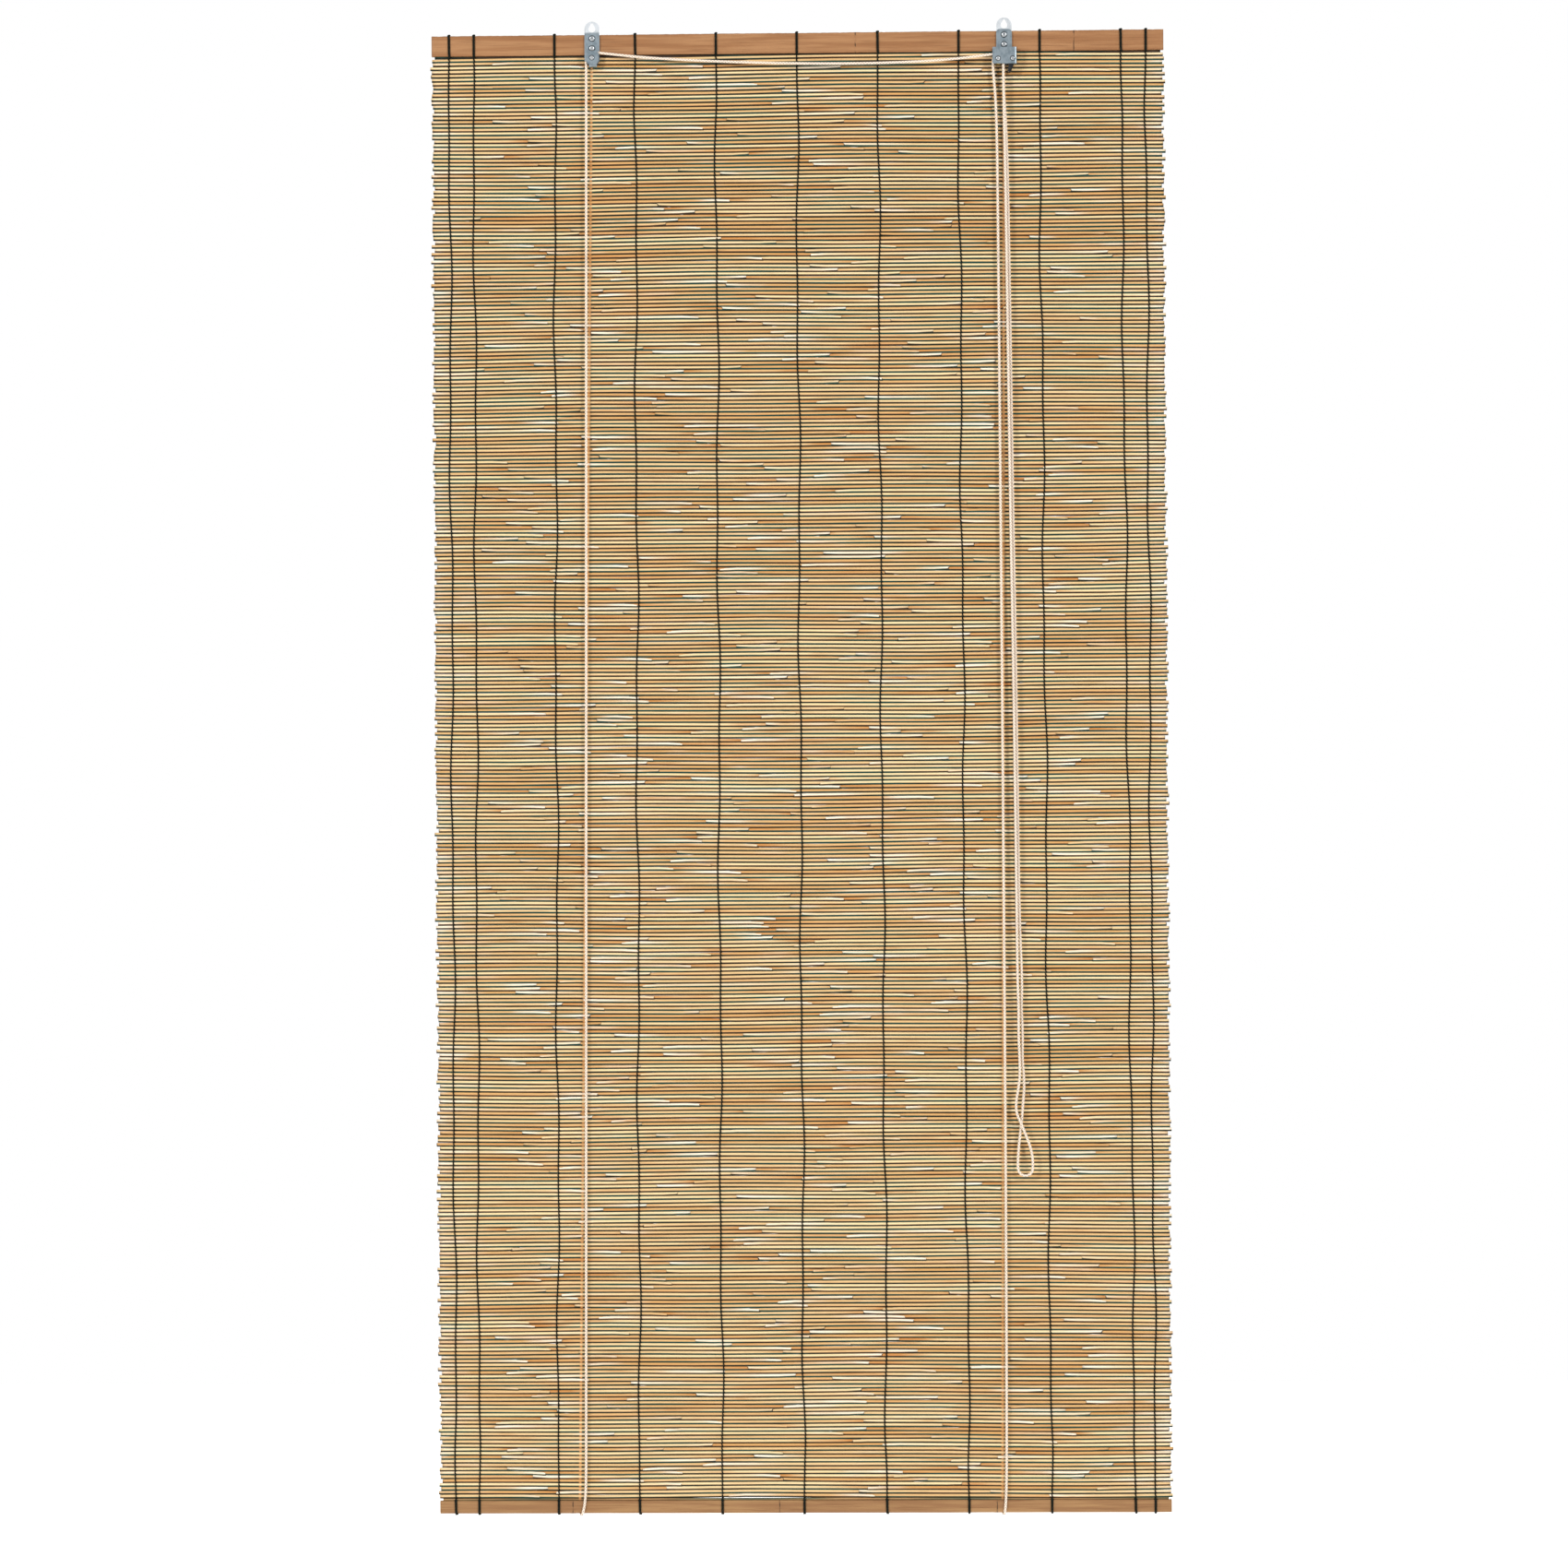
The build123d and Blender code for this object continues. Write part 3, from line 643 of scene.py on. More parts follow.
@dataclass
class Surface:
    """Tubes gathered into one mesh, each vertex with four dressing values and each corner with its UV."""

    points: list[np.ndarray] = field(default_factory=list)
    dressing: list[np.ndarray] = field(default_factory=list)
    faces: list[np.ndarray] = field(default_factory=list)
    uvs: list[np.ndarray] = field(default_factory=list)
    count: int = 0

    def add_rings(self, rings: np.ndarray, along: np.ndarray, dressing: np.ndarray | None = None) -> None:
        """Adds closed tubes.

        Faces join each ring to the next: with j round the ring and i along the tube, a face's corners are
        (i, j), (i, j + 1), (i + 1, j + 1) and (i + 1, j). The last corner of a ring is its first again. Each
        end is closed by one face whose corners are the ring's.

        Args:
            rings: Points, as tubes by rings by sides by 3, turning left as seen along the tube.
            along: The distance of each ring along its tube, as tubes by rings.
            dressing: Four values for each point, or None for zeros.
        """
        sides = rings.shape[2]
        index = np.arange(rings[..., 0].size).reshape(rings.shape[:3]) + self.count
        ahead = np.roll(index, -1, axis=2)
        quads = np.stack([index[:, :-1], ahead[:, :-1], ahead[:, 1:], index[:, 1:]], axis=-1)
        turn = np.broadcast_to(np.arange(sides) / sides, index.shape)
        reach = np.broadcast_to(along[:, :, None], index.shape)
        near, far = reach[:, :-1], reach[:, 1:]
        left, right = turn[:, :-1], turn[:, :-1] + 1 / sides
        corners = [(left, near), (right, near), (right, far), (left, far)]
        uvs = np.stack([np.stack(corner, axis=-1) for corner in corners], axis=-2)
        self.points.append(rings.reshape(-1, 3))
        self.dressing.append(np.zeros((index.size, 4)) if dressing is None else dressing.reshape(-1, 4))
        self.faces.append(quads.reshape(-1, 4))
        self.uvs.append(uvs.reshape(-1, 4, 2))
        for cap in (index[:, 0, ::-1], index[:, -1]):
            self.faces.append(cap)
            self.uvs.append(np.zeros((*cap.shape, 2)))
        self.count += index.size

    def to_object(self, name: str, material: Material) -> Piece:
        """Makes the gathered surface one object at the origin, with smooth quads and flat caps.

        Args:
            name: The piece's name.
            material: Its finish.

        Returns:
            The new object, linked into the scene.
        """
        mesh = bpy.data.meshes.new(name)
        points = np.concatenate(self.points)
        loops = np.concatenate([faces.reshape(-1) for faces in self.faces])
        totals = np.concatenate([np.full(len(faces), faces.shape[1]) for faces in self.faces])
        mesh.vertices.add(len(points))
        mesh.vertices.foreach_set("co", points.astype(np.float32).reshape(-1))
        mesh.loops.add(len(loops))
        mesh.loops.foreach_set("vertex_index", loops.astype(np.int32))
        mesh.polygons.add(len(totals))
        mesh.polygons.foreach_set("loop_start", (np.cumsum(totals) - totals).astype(np.int32))
        mesh.polygons.foreach_set("use_smooth", totals == 4)
        mesh.update(calc_edges=True)
        uv = np.concatenate([uvs.reshape(-1, 2) for uvs in self.uvs])
        mesh.uv_layers.new(name="UVMap").data.foreach_set("uv", uv.astype(np.float32).reshape(-1))
        layer = mesh.attributes.new(ATTRIBUTE, "FLOAT_COLOR", "POINT")
        layer.data.foreach_set("color", np.concatenate(self.dressing).astype(np.float32).reshape(-1))
        mesh.materials.append(material)
        return link_object(name, mesh)


def tube_piece(
    name: str, paths: np.ndarray, radius: float, sides: int, reference: Triple, material: Material
) -> Piece:
    """Makes one piece of round tubes along paths, with metres along them in its UV.

    Args:
        name: The piece's name.
        paths: Centre points, as tubes by rings by 3.
        radius: The tubes' radius.
        sides: Points in each ring.
        reference: A direction that no path runs along.
        material: The piece's finish.

    Returns:
        The new piece.
    """
    surface = Surface()
    surface.add_rings(rings_round(paths, radius, sides, reference), lengths_along(paths))
    return surface.to_object(name, material)


def link_object(name: str, data: Any) -> Piece:
    """Makes an object and links it into the scene.

    Args:
        name: The object's name.
        data: Its mesh, curve, light or camera.

    Returns:
        The new object.
    """
    made = bpy.data.objects.new(name, data)
    bpy.context.scene.collection.objects.link(made)
    return made


def unit(vectors: np.ndarray) -> np.ndarray:
    """Each vector divided by its length."""
    return vectors / np.linalg.norm(vectors, axis=-1, keepdims=True)


def wave(
    x: np.ndarray, place: Any, height: float, length: float, slip: float, start: float = 0.0
) -> np.ndarray:
    """A sine along x whose phase slips from one row or thread to the next.

    It is height times the sine of x over length, plus slip times place, plus start.
    """
    return height * np.sin(x / length + slip * place + start)


def lengths_along(paths: np.ndarray) -> np.ndarray:
    """The distance of each point along its path, which is the sum of the steps before it."""
    steps = np.linalg.norm(np.diff(paths, axis=1), axis=-1)
    return np.concatenate([np.zeros((len(paths), 1)), np.cumsum(steps, axis=1)], axis=1)


def rings_round(paths: np.ndarray, radius: float | np.ndarray, sides: int, reference: Triple) -> np.ndarray:
    """Round tubes along paths.

    The tangent is the central difference of the path. The side vector is the reference crossed with the
    tangent, the up vector is the tangent crossed with the side vector, and a ring's point at angle a is the
    centre plus the radius times (cos a of the side vector plus sin a of the up vector).

    Args:
        paths: Centre points, as tubes by rings by 3.
        radius: The tube's radius, or one for each ring.
        sides: Points in each ring.
        reference: A direction that no path runs along.

    Returns:
        Points, as tubes by rings by sides by 3.
    """
    tangents = unit(np.gradient(paths, axis=1))
    side = unit(np.cross(np.array(reference), tangents))
    up = np.cross(tangents, side)
    angles = np.arange(sides) * math.tau / sides
    radii = np.broadcast_to(radius, paths.shape[:2])[:, :, None, None]
    turned = np.cos(angles)[:, None] * side[:, :, None] + np.sin(angles)[:, None] * up[:, :, None]
    return paths[:, :, None] + radii * turned


def dress(piece: Piece, body: str | None, nodes: Sequence[str] = ()) -> Piece:
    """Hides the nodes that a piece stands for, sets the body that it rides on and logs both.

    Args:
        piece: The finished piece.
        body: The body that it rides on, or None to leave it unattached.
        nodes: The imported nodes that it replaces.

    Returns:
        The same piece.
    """
    if nodes:
        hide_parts(*nodes)
    if body is not None:
        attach(piece, body)
    log.info("%s rides on %s and stands for %s", piece.name, body, list(nodes))
    return piece


def band_body(band: int) -> str:
    """The body that a band of reeds rides on.

    Args:
        band: The band's number from the top. The bottom rail comes after the last.

    Returns:
        The body's name. Band 1 hangs on the root.
    """
    if band == 1:
        return "root"
    return f"band_{band:02d}" if band <= BAND_COUNT else "bottom"


# The mat --------------------------------------------------------------------------------------


@dataclass
class MatLayout:
    """Where the rows of the mat hang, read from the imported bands."""

    pitch: float = 5.3 * MM
    reed_height: float = 4.6 * MM
    half_width: float = 500.0 * MM
    first_rows: list[int] = field(default_factory=list)
    row_counts: list[int] = field(default_factory=list)
    top: float = 0.0
    rows: int = 0
    # The waves that the mat rides on: height, length over tau, slip from row to row and start.
    waves: tuple[tuple[float, ...], ...] = (
        (0.45 * MM, 0.085, 0.055),
        (0.4 * MM, 0.052, -0.08, 1.7),
        (0.7 * MM, 0.19, 0.021, 0.6),
    )

    def __post_init__(self) -> None:
        """Counts each band's rows from its height: rows less one pitches, and one reed."""
        for band in range(1, BAND_COUNT + 1):
            low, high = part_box(f"reed_band_{band:02d}")
            count = round((high[2] - low[2] - self.reed_height) / self.pitch) + 1
            self.first_rows.append(self.rows)
            self.row_counts.append(count)
            self.rows += count
        self.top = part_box("reed_band_01")[1][2] + (self.pitch - self.reed_height) / 2

    def row_height(self, row: np.ndarray) -> np.ndarray:
        """The height of each row's middle."""
        return self.top - (row + 0.5) * self.pitch

    def drift(self, x: np.ndarray, row: np.ndarray) -> np.ndarray:
        """How far the mat rides up or down at x.

        It is the sum of three slow waves whose phases slip from row to row, so that neighbours move together.
        """
        return sum(wave(x, row, *values) for values in self.waves)

    def hinge_height(self, band: int) -> float:
        """The height of the hinge below a band."""
        return self.top - (self.first_rows[band - 1] + self.row_counts[band - 1]) * self.pitch

    def middle_height(self, band: int) -> float:
        """The height of the row edge nearest a band's middle."""
        rows = self.first_rows[band - 1] + self.row_counts[band - 1] // 2
        return self.top - rows * self.pitch

    def bend_at_hinge(self, piece: Piece, band: int) -> None:
        """Bakes a piece's place into its mesh; it doesn't turn the piece at the hinge.

        Args:
            piece: The piece that crosses the hinge.
            band: The band above the hinge. Not used.
        """
        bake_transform(piece)


@dataclass(frozen=True)
class Tip:
    """How a reed ends: by what share it shrinks, how far it lifts and stands back, and how much its bleaching
    and painted tip light and shade change it.
    """

    shrink: float
    lift_mm: float
    back_mm: float
    # How much the tip is bleached and painted lighter, and below zero how much it is painted darker as shade.
    bleach_and_tip_shading: float


# The last value lightens an edge tip and a tip on top, part bleaching and part painted highlight, and darkens
# a tip underneath as painted shade.
EDGE_TIP = Tip(0.06, 0.0, 0.0, 0.3)
FRONT_TIP = Tip(0.22, 0.9, -1.0, 0.52)
UNDER_TIP = Tip(0.16, 0.3, 1.2, -0.42)


@dataclass
class ReedMat:
    """Single reeds, laid end to end in each row with their tapered ends overlapping."""

    layout: MatLayout
    finish: ReedFinish = ReedFinish()
    shortest: float = 150.0 * MM
    longest: float = 440.0 * MM
    first_cuts: Pair = (0.35, 1.0)  # what a row's first reed keeps of its length
    overlap: float = 26.0 * MM
    overlap_shares: Pair = (0.3, 0.6)
    shifts: Pair = (0.5, 1.0)
    height: float = 5.84 * MM  # of the eight sided ring, which is flat where it meets the next row
    depth: float = 4.8 * MM
    girths: Pair = (0.965, 1.03)
    # How strongly each tip's bleaching and painted light and shade show.
    tip_shading_spread: Pair = (0.15, 1.0)
    raggedness: float = 1.9 * MM
    stagger: float = 0.9 * MM  # how far every other row stands to the right
    taper: float = 24.0 * MM
    stations_mm: Triple = (0.0, 7.0, 24.0)
    middle_stations: Pair = (0.34, 0.66)
    kept_depth: float = 0.35  # the share of a tip's depth that doesn't shrink
    bow_up: Triple = (0.1 * MM, 0.024, 2.4)  # each reed's own wave: height, length over tau and slip
    bow_out: Triple = (0.12 * MM, 0.03, 1.0)
    fade: float = 70.0 * MM  # how far a tip's bleaching and painted light and shade reach from it
    slant: float = 5.5 * MM
    slants: Pair = (0.1, 1.0)
    edge_slant: float = 0.25
    hollow_share: float = 0.78
    hollow_depth: float = 0.3 * MM
    filler_radius: float = 1.9 * MM
    filler_inset: float = 4.0 * MM
    filler_setback: float = 0.4 * MM
    filler_tone: float = 0.4
    filler_bow: Triple = (0.2 * MM, 0.07, 0.0)
    filler_stations: int = 60
    filler_exposures: Pair = (0.0, 0.42)  # how far each gap reed stands out of the painted valley shade: below the headrail and above the bottom rail
    sides: int = 8
    slots_per_row: int = 8
    seed: int = 41

    def lay_reeds(self) -> dict[str, np.ndarray]:
        """Draws where each reed starts and ends, and which tip lies in front.

        Each row's joints are the running sum of random lengths. A joint nearer the right edge than half the
        shortest reed moves to that edge, and reeds with no length left are dropped.

        Returns:
            For every reed of the mat its row, both ends, tone and girth, and at each end whether it lies in
            front, whether it is the mat's own edge, how far it shifts up, how much it slants and how strongly
            it is bleached and painted with tip light and shade.
        """
        draw = np.random.default_rng(self.seed)
        rows, slots = self.layout.rows, self.slots_per_row
        edge = self.layout.half_width
        lengths = draw.uniform(self.shortest, self.longest, (rows, slots))
        lengths[:, 0] *= draw.uniform(*self.first_cuts, rows)
        joints = np.concatenate([np.zeros((rows, 1)), np.cumsum(lengths, axis=1)], axis=1) - edge
        joints = np.where(joints > edge - self.shortest / 2, edge, joints)
        stagger = np.where(np.arange(rows) % 2 == 0, -self.stagger, self.stagger)
        ragged = draw.uniform(-self.raggedness, self.raggedness, (rows, 2)) + stagger[:, None]
        in_front = draw.random((rows, slots + 1)) < 0.5
        upwards = draw.choice([-1.0, 1.0], (rows, slots + 1))
        shift = upwards * draw.uniform(*self.shifts, (rows, slots + 1))
        start, end = joints[:, :-1], joints[:, 1:]
        left_edge, right_edge = start <= -edge, end >= edge
        reach = self.overlap * draw.uniform(*self.overlap_shares, (rows, slots + 1))
        begin = np.where(left_edge, start + ragged[:, :1], start - reach[:, :-1])
        finish = np.where(right_edge, end + ragged[:, 1:], end + reach[:, 1:])
        kept = end - start > 1 * MM
        return {
            "row": np.broadcast_to(np.arange(rows)[:, None], kept.shape)[kept],
            "start": begin[kept],
            "end": finish[kept],
            "tone": draw.random((rows, slots))[kept],
            "front": np.stack([in_front[:, :-1], ~in_front[:, 1:]], axis=-1)[kept],
            "edge": np.stack([left_edge, right_edge], axis=-1)[kept],
            "shift": np.stack([shift[:, :-1], -shift[:, 1:]], axis=-1)[kept],
            "girth": draw.uniform(*self.girths, (rows, slots))[kept],
            "slant": draw.uniform(*self.slants, (rows, slots, 2))[kept],
            "tip_bleach_and_shading": draw.uniform(*self.tip_shading_spread, (rows, slots, 2))[kept],
        }

    def shape_reeds(self, part: dict[str, np.ndarray]) -> tuple[np.ndarray, np.ndarray]:
        """Shapes and dresses some reeds.

        Stations run along each reed from its start to its end, close together at both tapered ends. With t
        falling from 1 at a tip to 0 where its taper begins, the reed shrinks by a share of t and its middle
        moves up or down and forwards or back by t. Each cut slants, so that it shows from the room.

        Args:
            part: The layout of these reeds.

        Returns:
            Points, as reeds by rings by sides by 3, and the four dressing values of each.
        """
        start, end = part["start"][:, None], part["end"][:, None]
        near = np.array(self.stations_mm) * MM
        middle = start + near[-1] + (end - start - 2 * near[-1]) * np.array([self.middle_stations])
        x = np.concatenate([start + near, middle, end - near[::-1]], axis=1)
        beyond = np.stack([x - start, end - x], axis=-1)
        tapers = np.clip(1 - beyond / self.taper, 0, 1)
        front, edge = part["front"][:, None], part["edge"][:, None]

        def by_tip(trait: str) -> np.ndarray:
            """One trait of both tips of each reed."""
            values = [getattr(tip, trait) for tip in (EDGE_TIP, FRONT_TIP, UNDER_TIP)]
            return np.where(edge, values[0], np.where(front, values[1], values[2]))

        shrink = 1 - (tapers * by_tip("shrink")).sum(axis=-1)
        rise = (tapers * by_tip("lift_mm") * part["shift"][:, None]).sum(axis=-1) * MM
        back = (tapers * by_tip("back_mm")).sum(axis=-1) * MM
        row, girth = part["row"][:, None], part["girth"][:, None]
        own = wave(x, row, *self.bow_up)
        centre_z = self.layout.row_height(row) + self.layout.drift(x, row) + own + rise
        centre_y = back + wave(x, row, *self.bow_out)
        angles = (np.arange(self.sides) + 0.5) * math.tau / self.sides
        half_height = (self.height / 2 * girth * shrink)[:, :, None]
        kept = self.kept_depth + (1 - self.kept_depth) * shrink
        half_depth = (self.depth / 2 * girth * kept)[:, :, None]
        z = centre_z[:, :, None] + half_height * np.sin(angles)
        y = centre_y[:, :, None] + half_depth * np.cos(angles)
        rings = np.stack(np.broadcast_arrays(x[:, :, None], y, z), axis=-1)
        slant = self.slant * part["slant"] ** 2 * np.where(part["edge"], self.edge_slant, 1.0)
        toward = 0.5 - 0.5 * np.cos(angles)
        rings[:, 0, :, 0] += slant[:, :1] * toward
        rings[:, -1, :, 0] -= slant[:, 1:] * toward
        # Tip light and shade: lighter towards an edge tip and a tip on top, part bleaching and part painted
        # highlight, and darker towards a tip underneath, as painted shade.
        tip_bleach_and_shading = np.clip(1 - beyond / self.fade, 0, 1) * by_tip("bleach_and_tip_shading") * part["tip_bleach_and_shading"][:, None]
        bleach_and_tip_shading = 0.5 + tip_bleach_and_shading.sum(axis=-1)[:, :, None]
        tone = part["tone"][:, None, None]
        # Height round the ring, from 0 at the bottom to 1 at the top; the material darkens the lower side
        # with it as painted shade.
        height = np.broadcast_to(0.5 + 0.5 * np.sin(angles), z.shape)
        return rings, np.stack(np.broadcast_arrays(tone, bleach_and_tip_shading, height, 0.0), axis=-1)

    def build_band(self, band: int, reeds: dict[str, np.ndarray], material: Material) -> Piece:
        """Makes one band's reeds as one piece, each end closed round a hollow painted dark as shade.

        A hollow is the end ring again, drawn in to a share of its size and a little inside the reed.

        Args:
            band: The band's number from the top.
            reeds: The layout of all reeds.
            material: The reeds' finish.

        Returns:
            The piece, riding on the band's body.
        """
        first = self.layout.first_rows[band - 1]
        chosen = (reeds["row"] >= first) & (reeds["row"] < first + self.layout.row_counts[band - 1])
        part = {name: values[chosen] for name, values in reeds.items()}
        rings, dressing = self.shape_reeds(part)
        middles = rings.mean(axis=2, keepdims=True)
        inner = middles + (rings - middles) * self.hollow_share
        inner[:, 0, :, 0] += self.hollow_depth
        inner[:, -1, :, 0] -= self.hollow_depth
        # The hollow's rings are flagged for the material's painted shade.
        dark = dressing.copy()
        dark[..., 3] = 1.0
        rings = np.concatenate([inner[:, :1], rings, inner[:, -1:]], axis=1)
        dressing = np.concatenate([dark[:, :1], dressing, dark[:, -1:]], axis=1)
        surface = Surface()
        surface.add_rings(rings, rings[:, :, 0, 0] - part["start"][:, None], dressing)
        piece = surface.to_object(f"reeds_{band:02d}", material)
        return dress(piece, band_body(band), [f"reed_band_{band:02d}"])

    def build_filler(self, name: str, body: str, height: float, exposure: float, material: Material) -> None:
        """Lays one thin reed in the gap beside a rail, set back from the room, painted in the reeds' shade
        colours as the shade in that gap.

        Its line is straight but for one slow sine. Its dressing is that of a reed's girth at exposure all
        round.

        Args:
            name: The piece's name.
            body: The body that it rides on.
            height: The height of its line.
            exposure: From 0 in the painted valley shade to 1 on the lit crown.
            material: The reeds' finish.
        """
        end = self.layout.half_width - self.filler_inset
        x = np.linspace(-end, end, self.filler_stations)
        z = height + wave(x, 0, *self.filler_bow)
        paths = np.stack([x, np.full_like(x, self.filler_setback), z], axis=-1)[None]
        rings = rings_round(paths, self.filler_radius, self.sides, UPWARDS)
        values = (self.filler_tone, self.filler_tone, exposure, 0.0)
        surface = Surface()
        surface.add_rings(rings, lengths_along(paths), np.broadcast_to(values, (*rings.shape[:3], 4)))
        dress(surface.to_object(name, material), body)

    def build(self) -> None:
        """Makes all the bands of reeds."""
        material = self.finish.build()
        reeds = self.lay_reeds()
        below_headrail = (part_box("headrail")[0][2] + self.layout.top) / 2
        above_rail = (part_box("bottom_rail")[1][2] + self.layout.hinge_height(BAND_COUNT)) / 2
        # Painted shade: the gap reeds stand in for the shade beside the rails, darkest below the headrail.
        dark, lit = self.filler_exposures
        self.build_filler("headrail_gap_shade_reed", "root", below_headrail, dark, material)
        self.build_filler("bottom_gap_shade_reed", "bottom", above_rail, lit, material)
        for band in range(1, BAND_COUNT + 1):
            self.build_band(band, reeds, material)


@dataclass
class Twine:
    """The dyed twine: warp threads twined round the reeds, and lashings round both rails."""

    layout: MatLayout
    finish: TwineFinish = TwineFinish()
    radius: float = 1.0 * MM
    twist_reach: float = 0.65 * MM
    front_reach: float = 3.2 * MM
    flatness: float = 0.55
    wander: float = 2.6 * MM
    sways: tuple[Triple, Triple] = ((0.6, 0.075, 1.9), (0.4, 0.031, 2.7))  # share, length over tau and slip
    settle: float = 0.04  # the share of the mat's height in which the wander fades at each rail
    settle_rows: float = 3.0
    top_xs_mm: tuple[float, ...] = (-476, -442, -331.5, -221, -110.5, 0, 110.5, 221, 331.5, 442, 476)
    bottom_xs_mm: tuple[float, ...] = (-478, -446, -337, -226, -113, -1, 112, 224, 337, 451, 478)
    stations_per_row: int = 4
    sides: int = 5
    turns: float = 2.0
    wrap_stations: int = 64
    wrap_start: float = 0.35
    wrap_squareness: float = 0.25
    wrap_slant: float = 0.35 * MM
    wrap_clearance: float = 0.08 * MM
    wrap_pitch: float = 2.05  # of the twine's radius
    wrap_sides: int = 6
    lashing_radius: float = 0.85 * MM
    knot_radius: float = 1.5 * MM
    knot_reach: float = 1.5  # half its length, of its radius
    knot_stations: int = 7
    knot_sides: int = 8
    knot_bulge: float = 0.5 * MM
    knot_tilt: float = 0.4 * MM
    knot_clearance: Pair = (0.1 * MM, 0.5 * MM)  # from the rail's room side and from its upper edge

    def thread_xs(self, z: np.ndarray) -> np.ndarray:
        """Each thread's place across the mat at heights z.

        A straight line from its place at the headrail to its place at the bottom rail, plus two slow sines
        that fade to nothing at both rails.

        Args:
            z: Heights.

        Returns:
            Places, as threads by heights.
        """
        share = np.clip((self.layout.top - z) / (self.layout.rows * self.layout.pitch), 0, 1)
        top = np.array(self.top_xs_mm)[:, None] * MM
        bottom = np.array(self.bottom_xs_mm)[:, None] * MM
        place = np.arange(len(self.top_xs_mm))[:, None]
        sway = sum(wave(z, place, *values) for values in self.sways)
        fade = np.clip(np.minimum(share, 1 - share) / self.settle, 0, 1)
        return top + (bottom - top) * share + self.wander * sway * fade

    def build_threads(self, name: str, high: float, low: float, material: Material) -> Piece:
        """Makes one stretch of all the warp threads.

        Each thread is two strands that swap sides between one reed and the next. With c the cosine of half a
        turn a row, a strand stands towards the room by the sign of c times a power of its size, and sideways
        by the sine of the same angle, so that every stitch slants the same way. The second strand is half a
        turn behind.

        Args:
            name: The piece's name.
            high: The stretch's upper end.
            low: Its lower end.
            material: The twine's finish.

        Returns:
            The piece, not yet riding on anything.
        """
        layout = self.layout
        step = layout.pitch / self.stations_per_row
        z = np.linspace(high, low, max(2, round((high - low) / step) + 1))
        x = self.thread_xs(z)
        row = (layout.top - z) / layout.pitch - 0.5
        settled = np.clip((row + 0.5) / self.settle_rows, 0, 1)
        settled = settled * np.clip((layout.rows - row) / self.settle_rows, 0, 1)
        height = z + layout.drift(x, row) * settled
        surface = Surface()
        for sense in (1.0, -1.0):
            swing = np.cos(math.pi * row) * sense
            y = -self.front_reach * np.sign(swing) * np.abs(swing) ** self.flatness
            side = self.twist_reach * np.sin(math.pi * row) * sense
            paths = np.stack(np.broadcast_arrays(x + side, y, height), axis=-1)
            rings = rings_round(paths, self.radius, self.sides, ACROSS)
            surface.add_rings(rings, np.broadcast_to(high - z, x.shape))
        return surface.to_object(name, material)

    def build_warp(self, material: Material) -> None:
        """Makes the warp in stretches from one band's middle to the next one's.

        Args:
            material: The twine's finish.
        """
        layout = self.layout
        ends = [layout.middle_height(band) for band in range(1, BAND_COUNT + 1)]
        ends.append(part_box("bottom_rail")[1][2] + self.lashing_radius)
        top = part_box("headrail")[0][2] - self.lashing_radius
        piece = self.build_threads("warp_00", top, ends[0], material)
        dress(piece, "root", ["warp_threads"])
        for band in range(1, BAND_COUNT + 1):
            piece = self.build_threads(f"warp_{band:02d}", ends[band - 1], ends[band], material)
            dress(piece, None, ["warp_threads"])
            layout.bend_at_hinge(piece, band)

    def wrap_rail(self, low: np.ndarray, high: np.ndarray, x: np.ndarray) -> np.ndarray:
        """The paths of the wraps round a rail.

        Each is a helix on a rounded rectangle: with a the angle, the section's point is the rail's half size
        plus the twine's radius times a root of cosine and sine, and it moves across by one twine's width a
        turn.

        Args:
            low: The rail's lowest corner.
            high: Its highest corner.
            x: Where the wraps sit, one a row.

        Returns:
            Points, as wraps by stations by 3.
        """
        half = (high - low) / 2 + self.lashing_radius + self.wrap_clearance
        middle = (high + low) / 2
        share = np.linspace(0, 1, self.wrap_stations)[None, :]
        angle = self.wrap_start + share * self.turns * math.tau
        # Every third wrap leans the other way.
        leaning = np.where(np.arange(len(x)) % 3 == 0, -1.0, 1.0)[:, None]
        slant = self.wrap_slant * np.sin(angle) * leaning
        across = x + (share - 0.5) * self.turns * self.wrap_pitch * self.lashing_radius + slant
        y, z = (
            middle[axis] + half[axis] * np.sign(swing) * np.abs(swing) ** self.wrap_squareness
            for axis, swing in ((1, np.cos(angle)), (2, np.sin(angle)))
        )
        return np.stack(np.broadcast_arrays(across, y, z), axis=-1)

    def build_lashings(self, rail: str, body: str, xs_mm: Sequence[float], material: Material) -> None:
        """Wraps twine round a rail at each thread, with a knot on the rail's upper edge towards the room.

        A knot is a ball drawn out sideways: with u from -1 to 1 along it, its radius goes as the root of 1
        less u squared.

        Args:
            rail: The rail's node name.
            body: The body that it rides on.
            xs_mm: Where the wraps sit, in millimetres.
            material: The twine's finish.
        """
        low, high = (np.array(corner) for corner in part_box(rail))
        x = np.array(xs_mm)[:, None] * MM
        wraps = self.wrap_rail(low, high, x)
        surface = Surface()
        rings = rings_round(wraps, self.lashing_radius, self.wrap_sides, ACROSS)
        surface.add_rings(rings, lengths_along(wraps))
        u = np.linspace(-1, 1, self.knot_stations)[None, :]
        across = x + u * self.knot_radius * self.knot_reach
        y = low[1] - self.knot_clearance[0] - self.knot_bulge * np.cos(u * math.pi / 2)
        z = high[2] + self.knot_clearance[1] + self.knot_tilt * u
        spines = np.stack(np.broadcast_arrays(across, y, z), axis=-1)
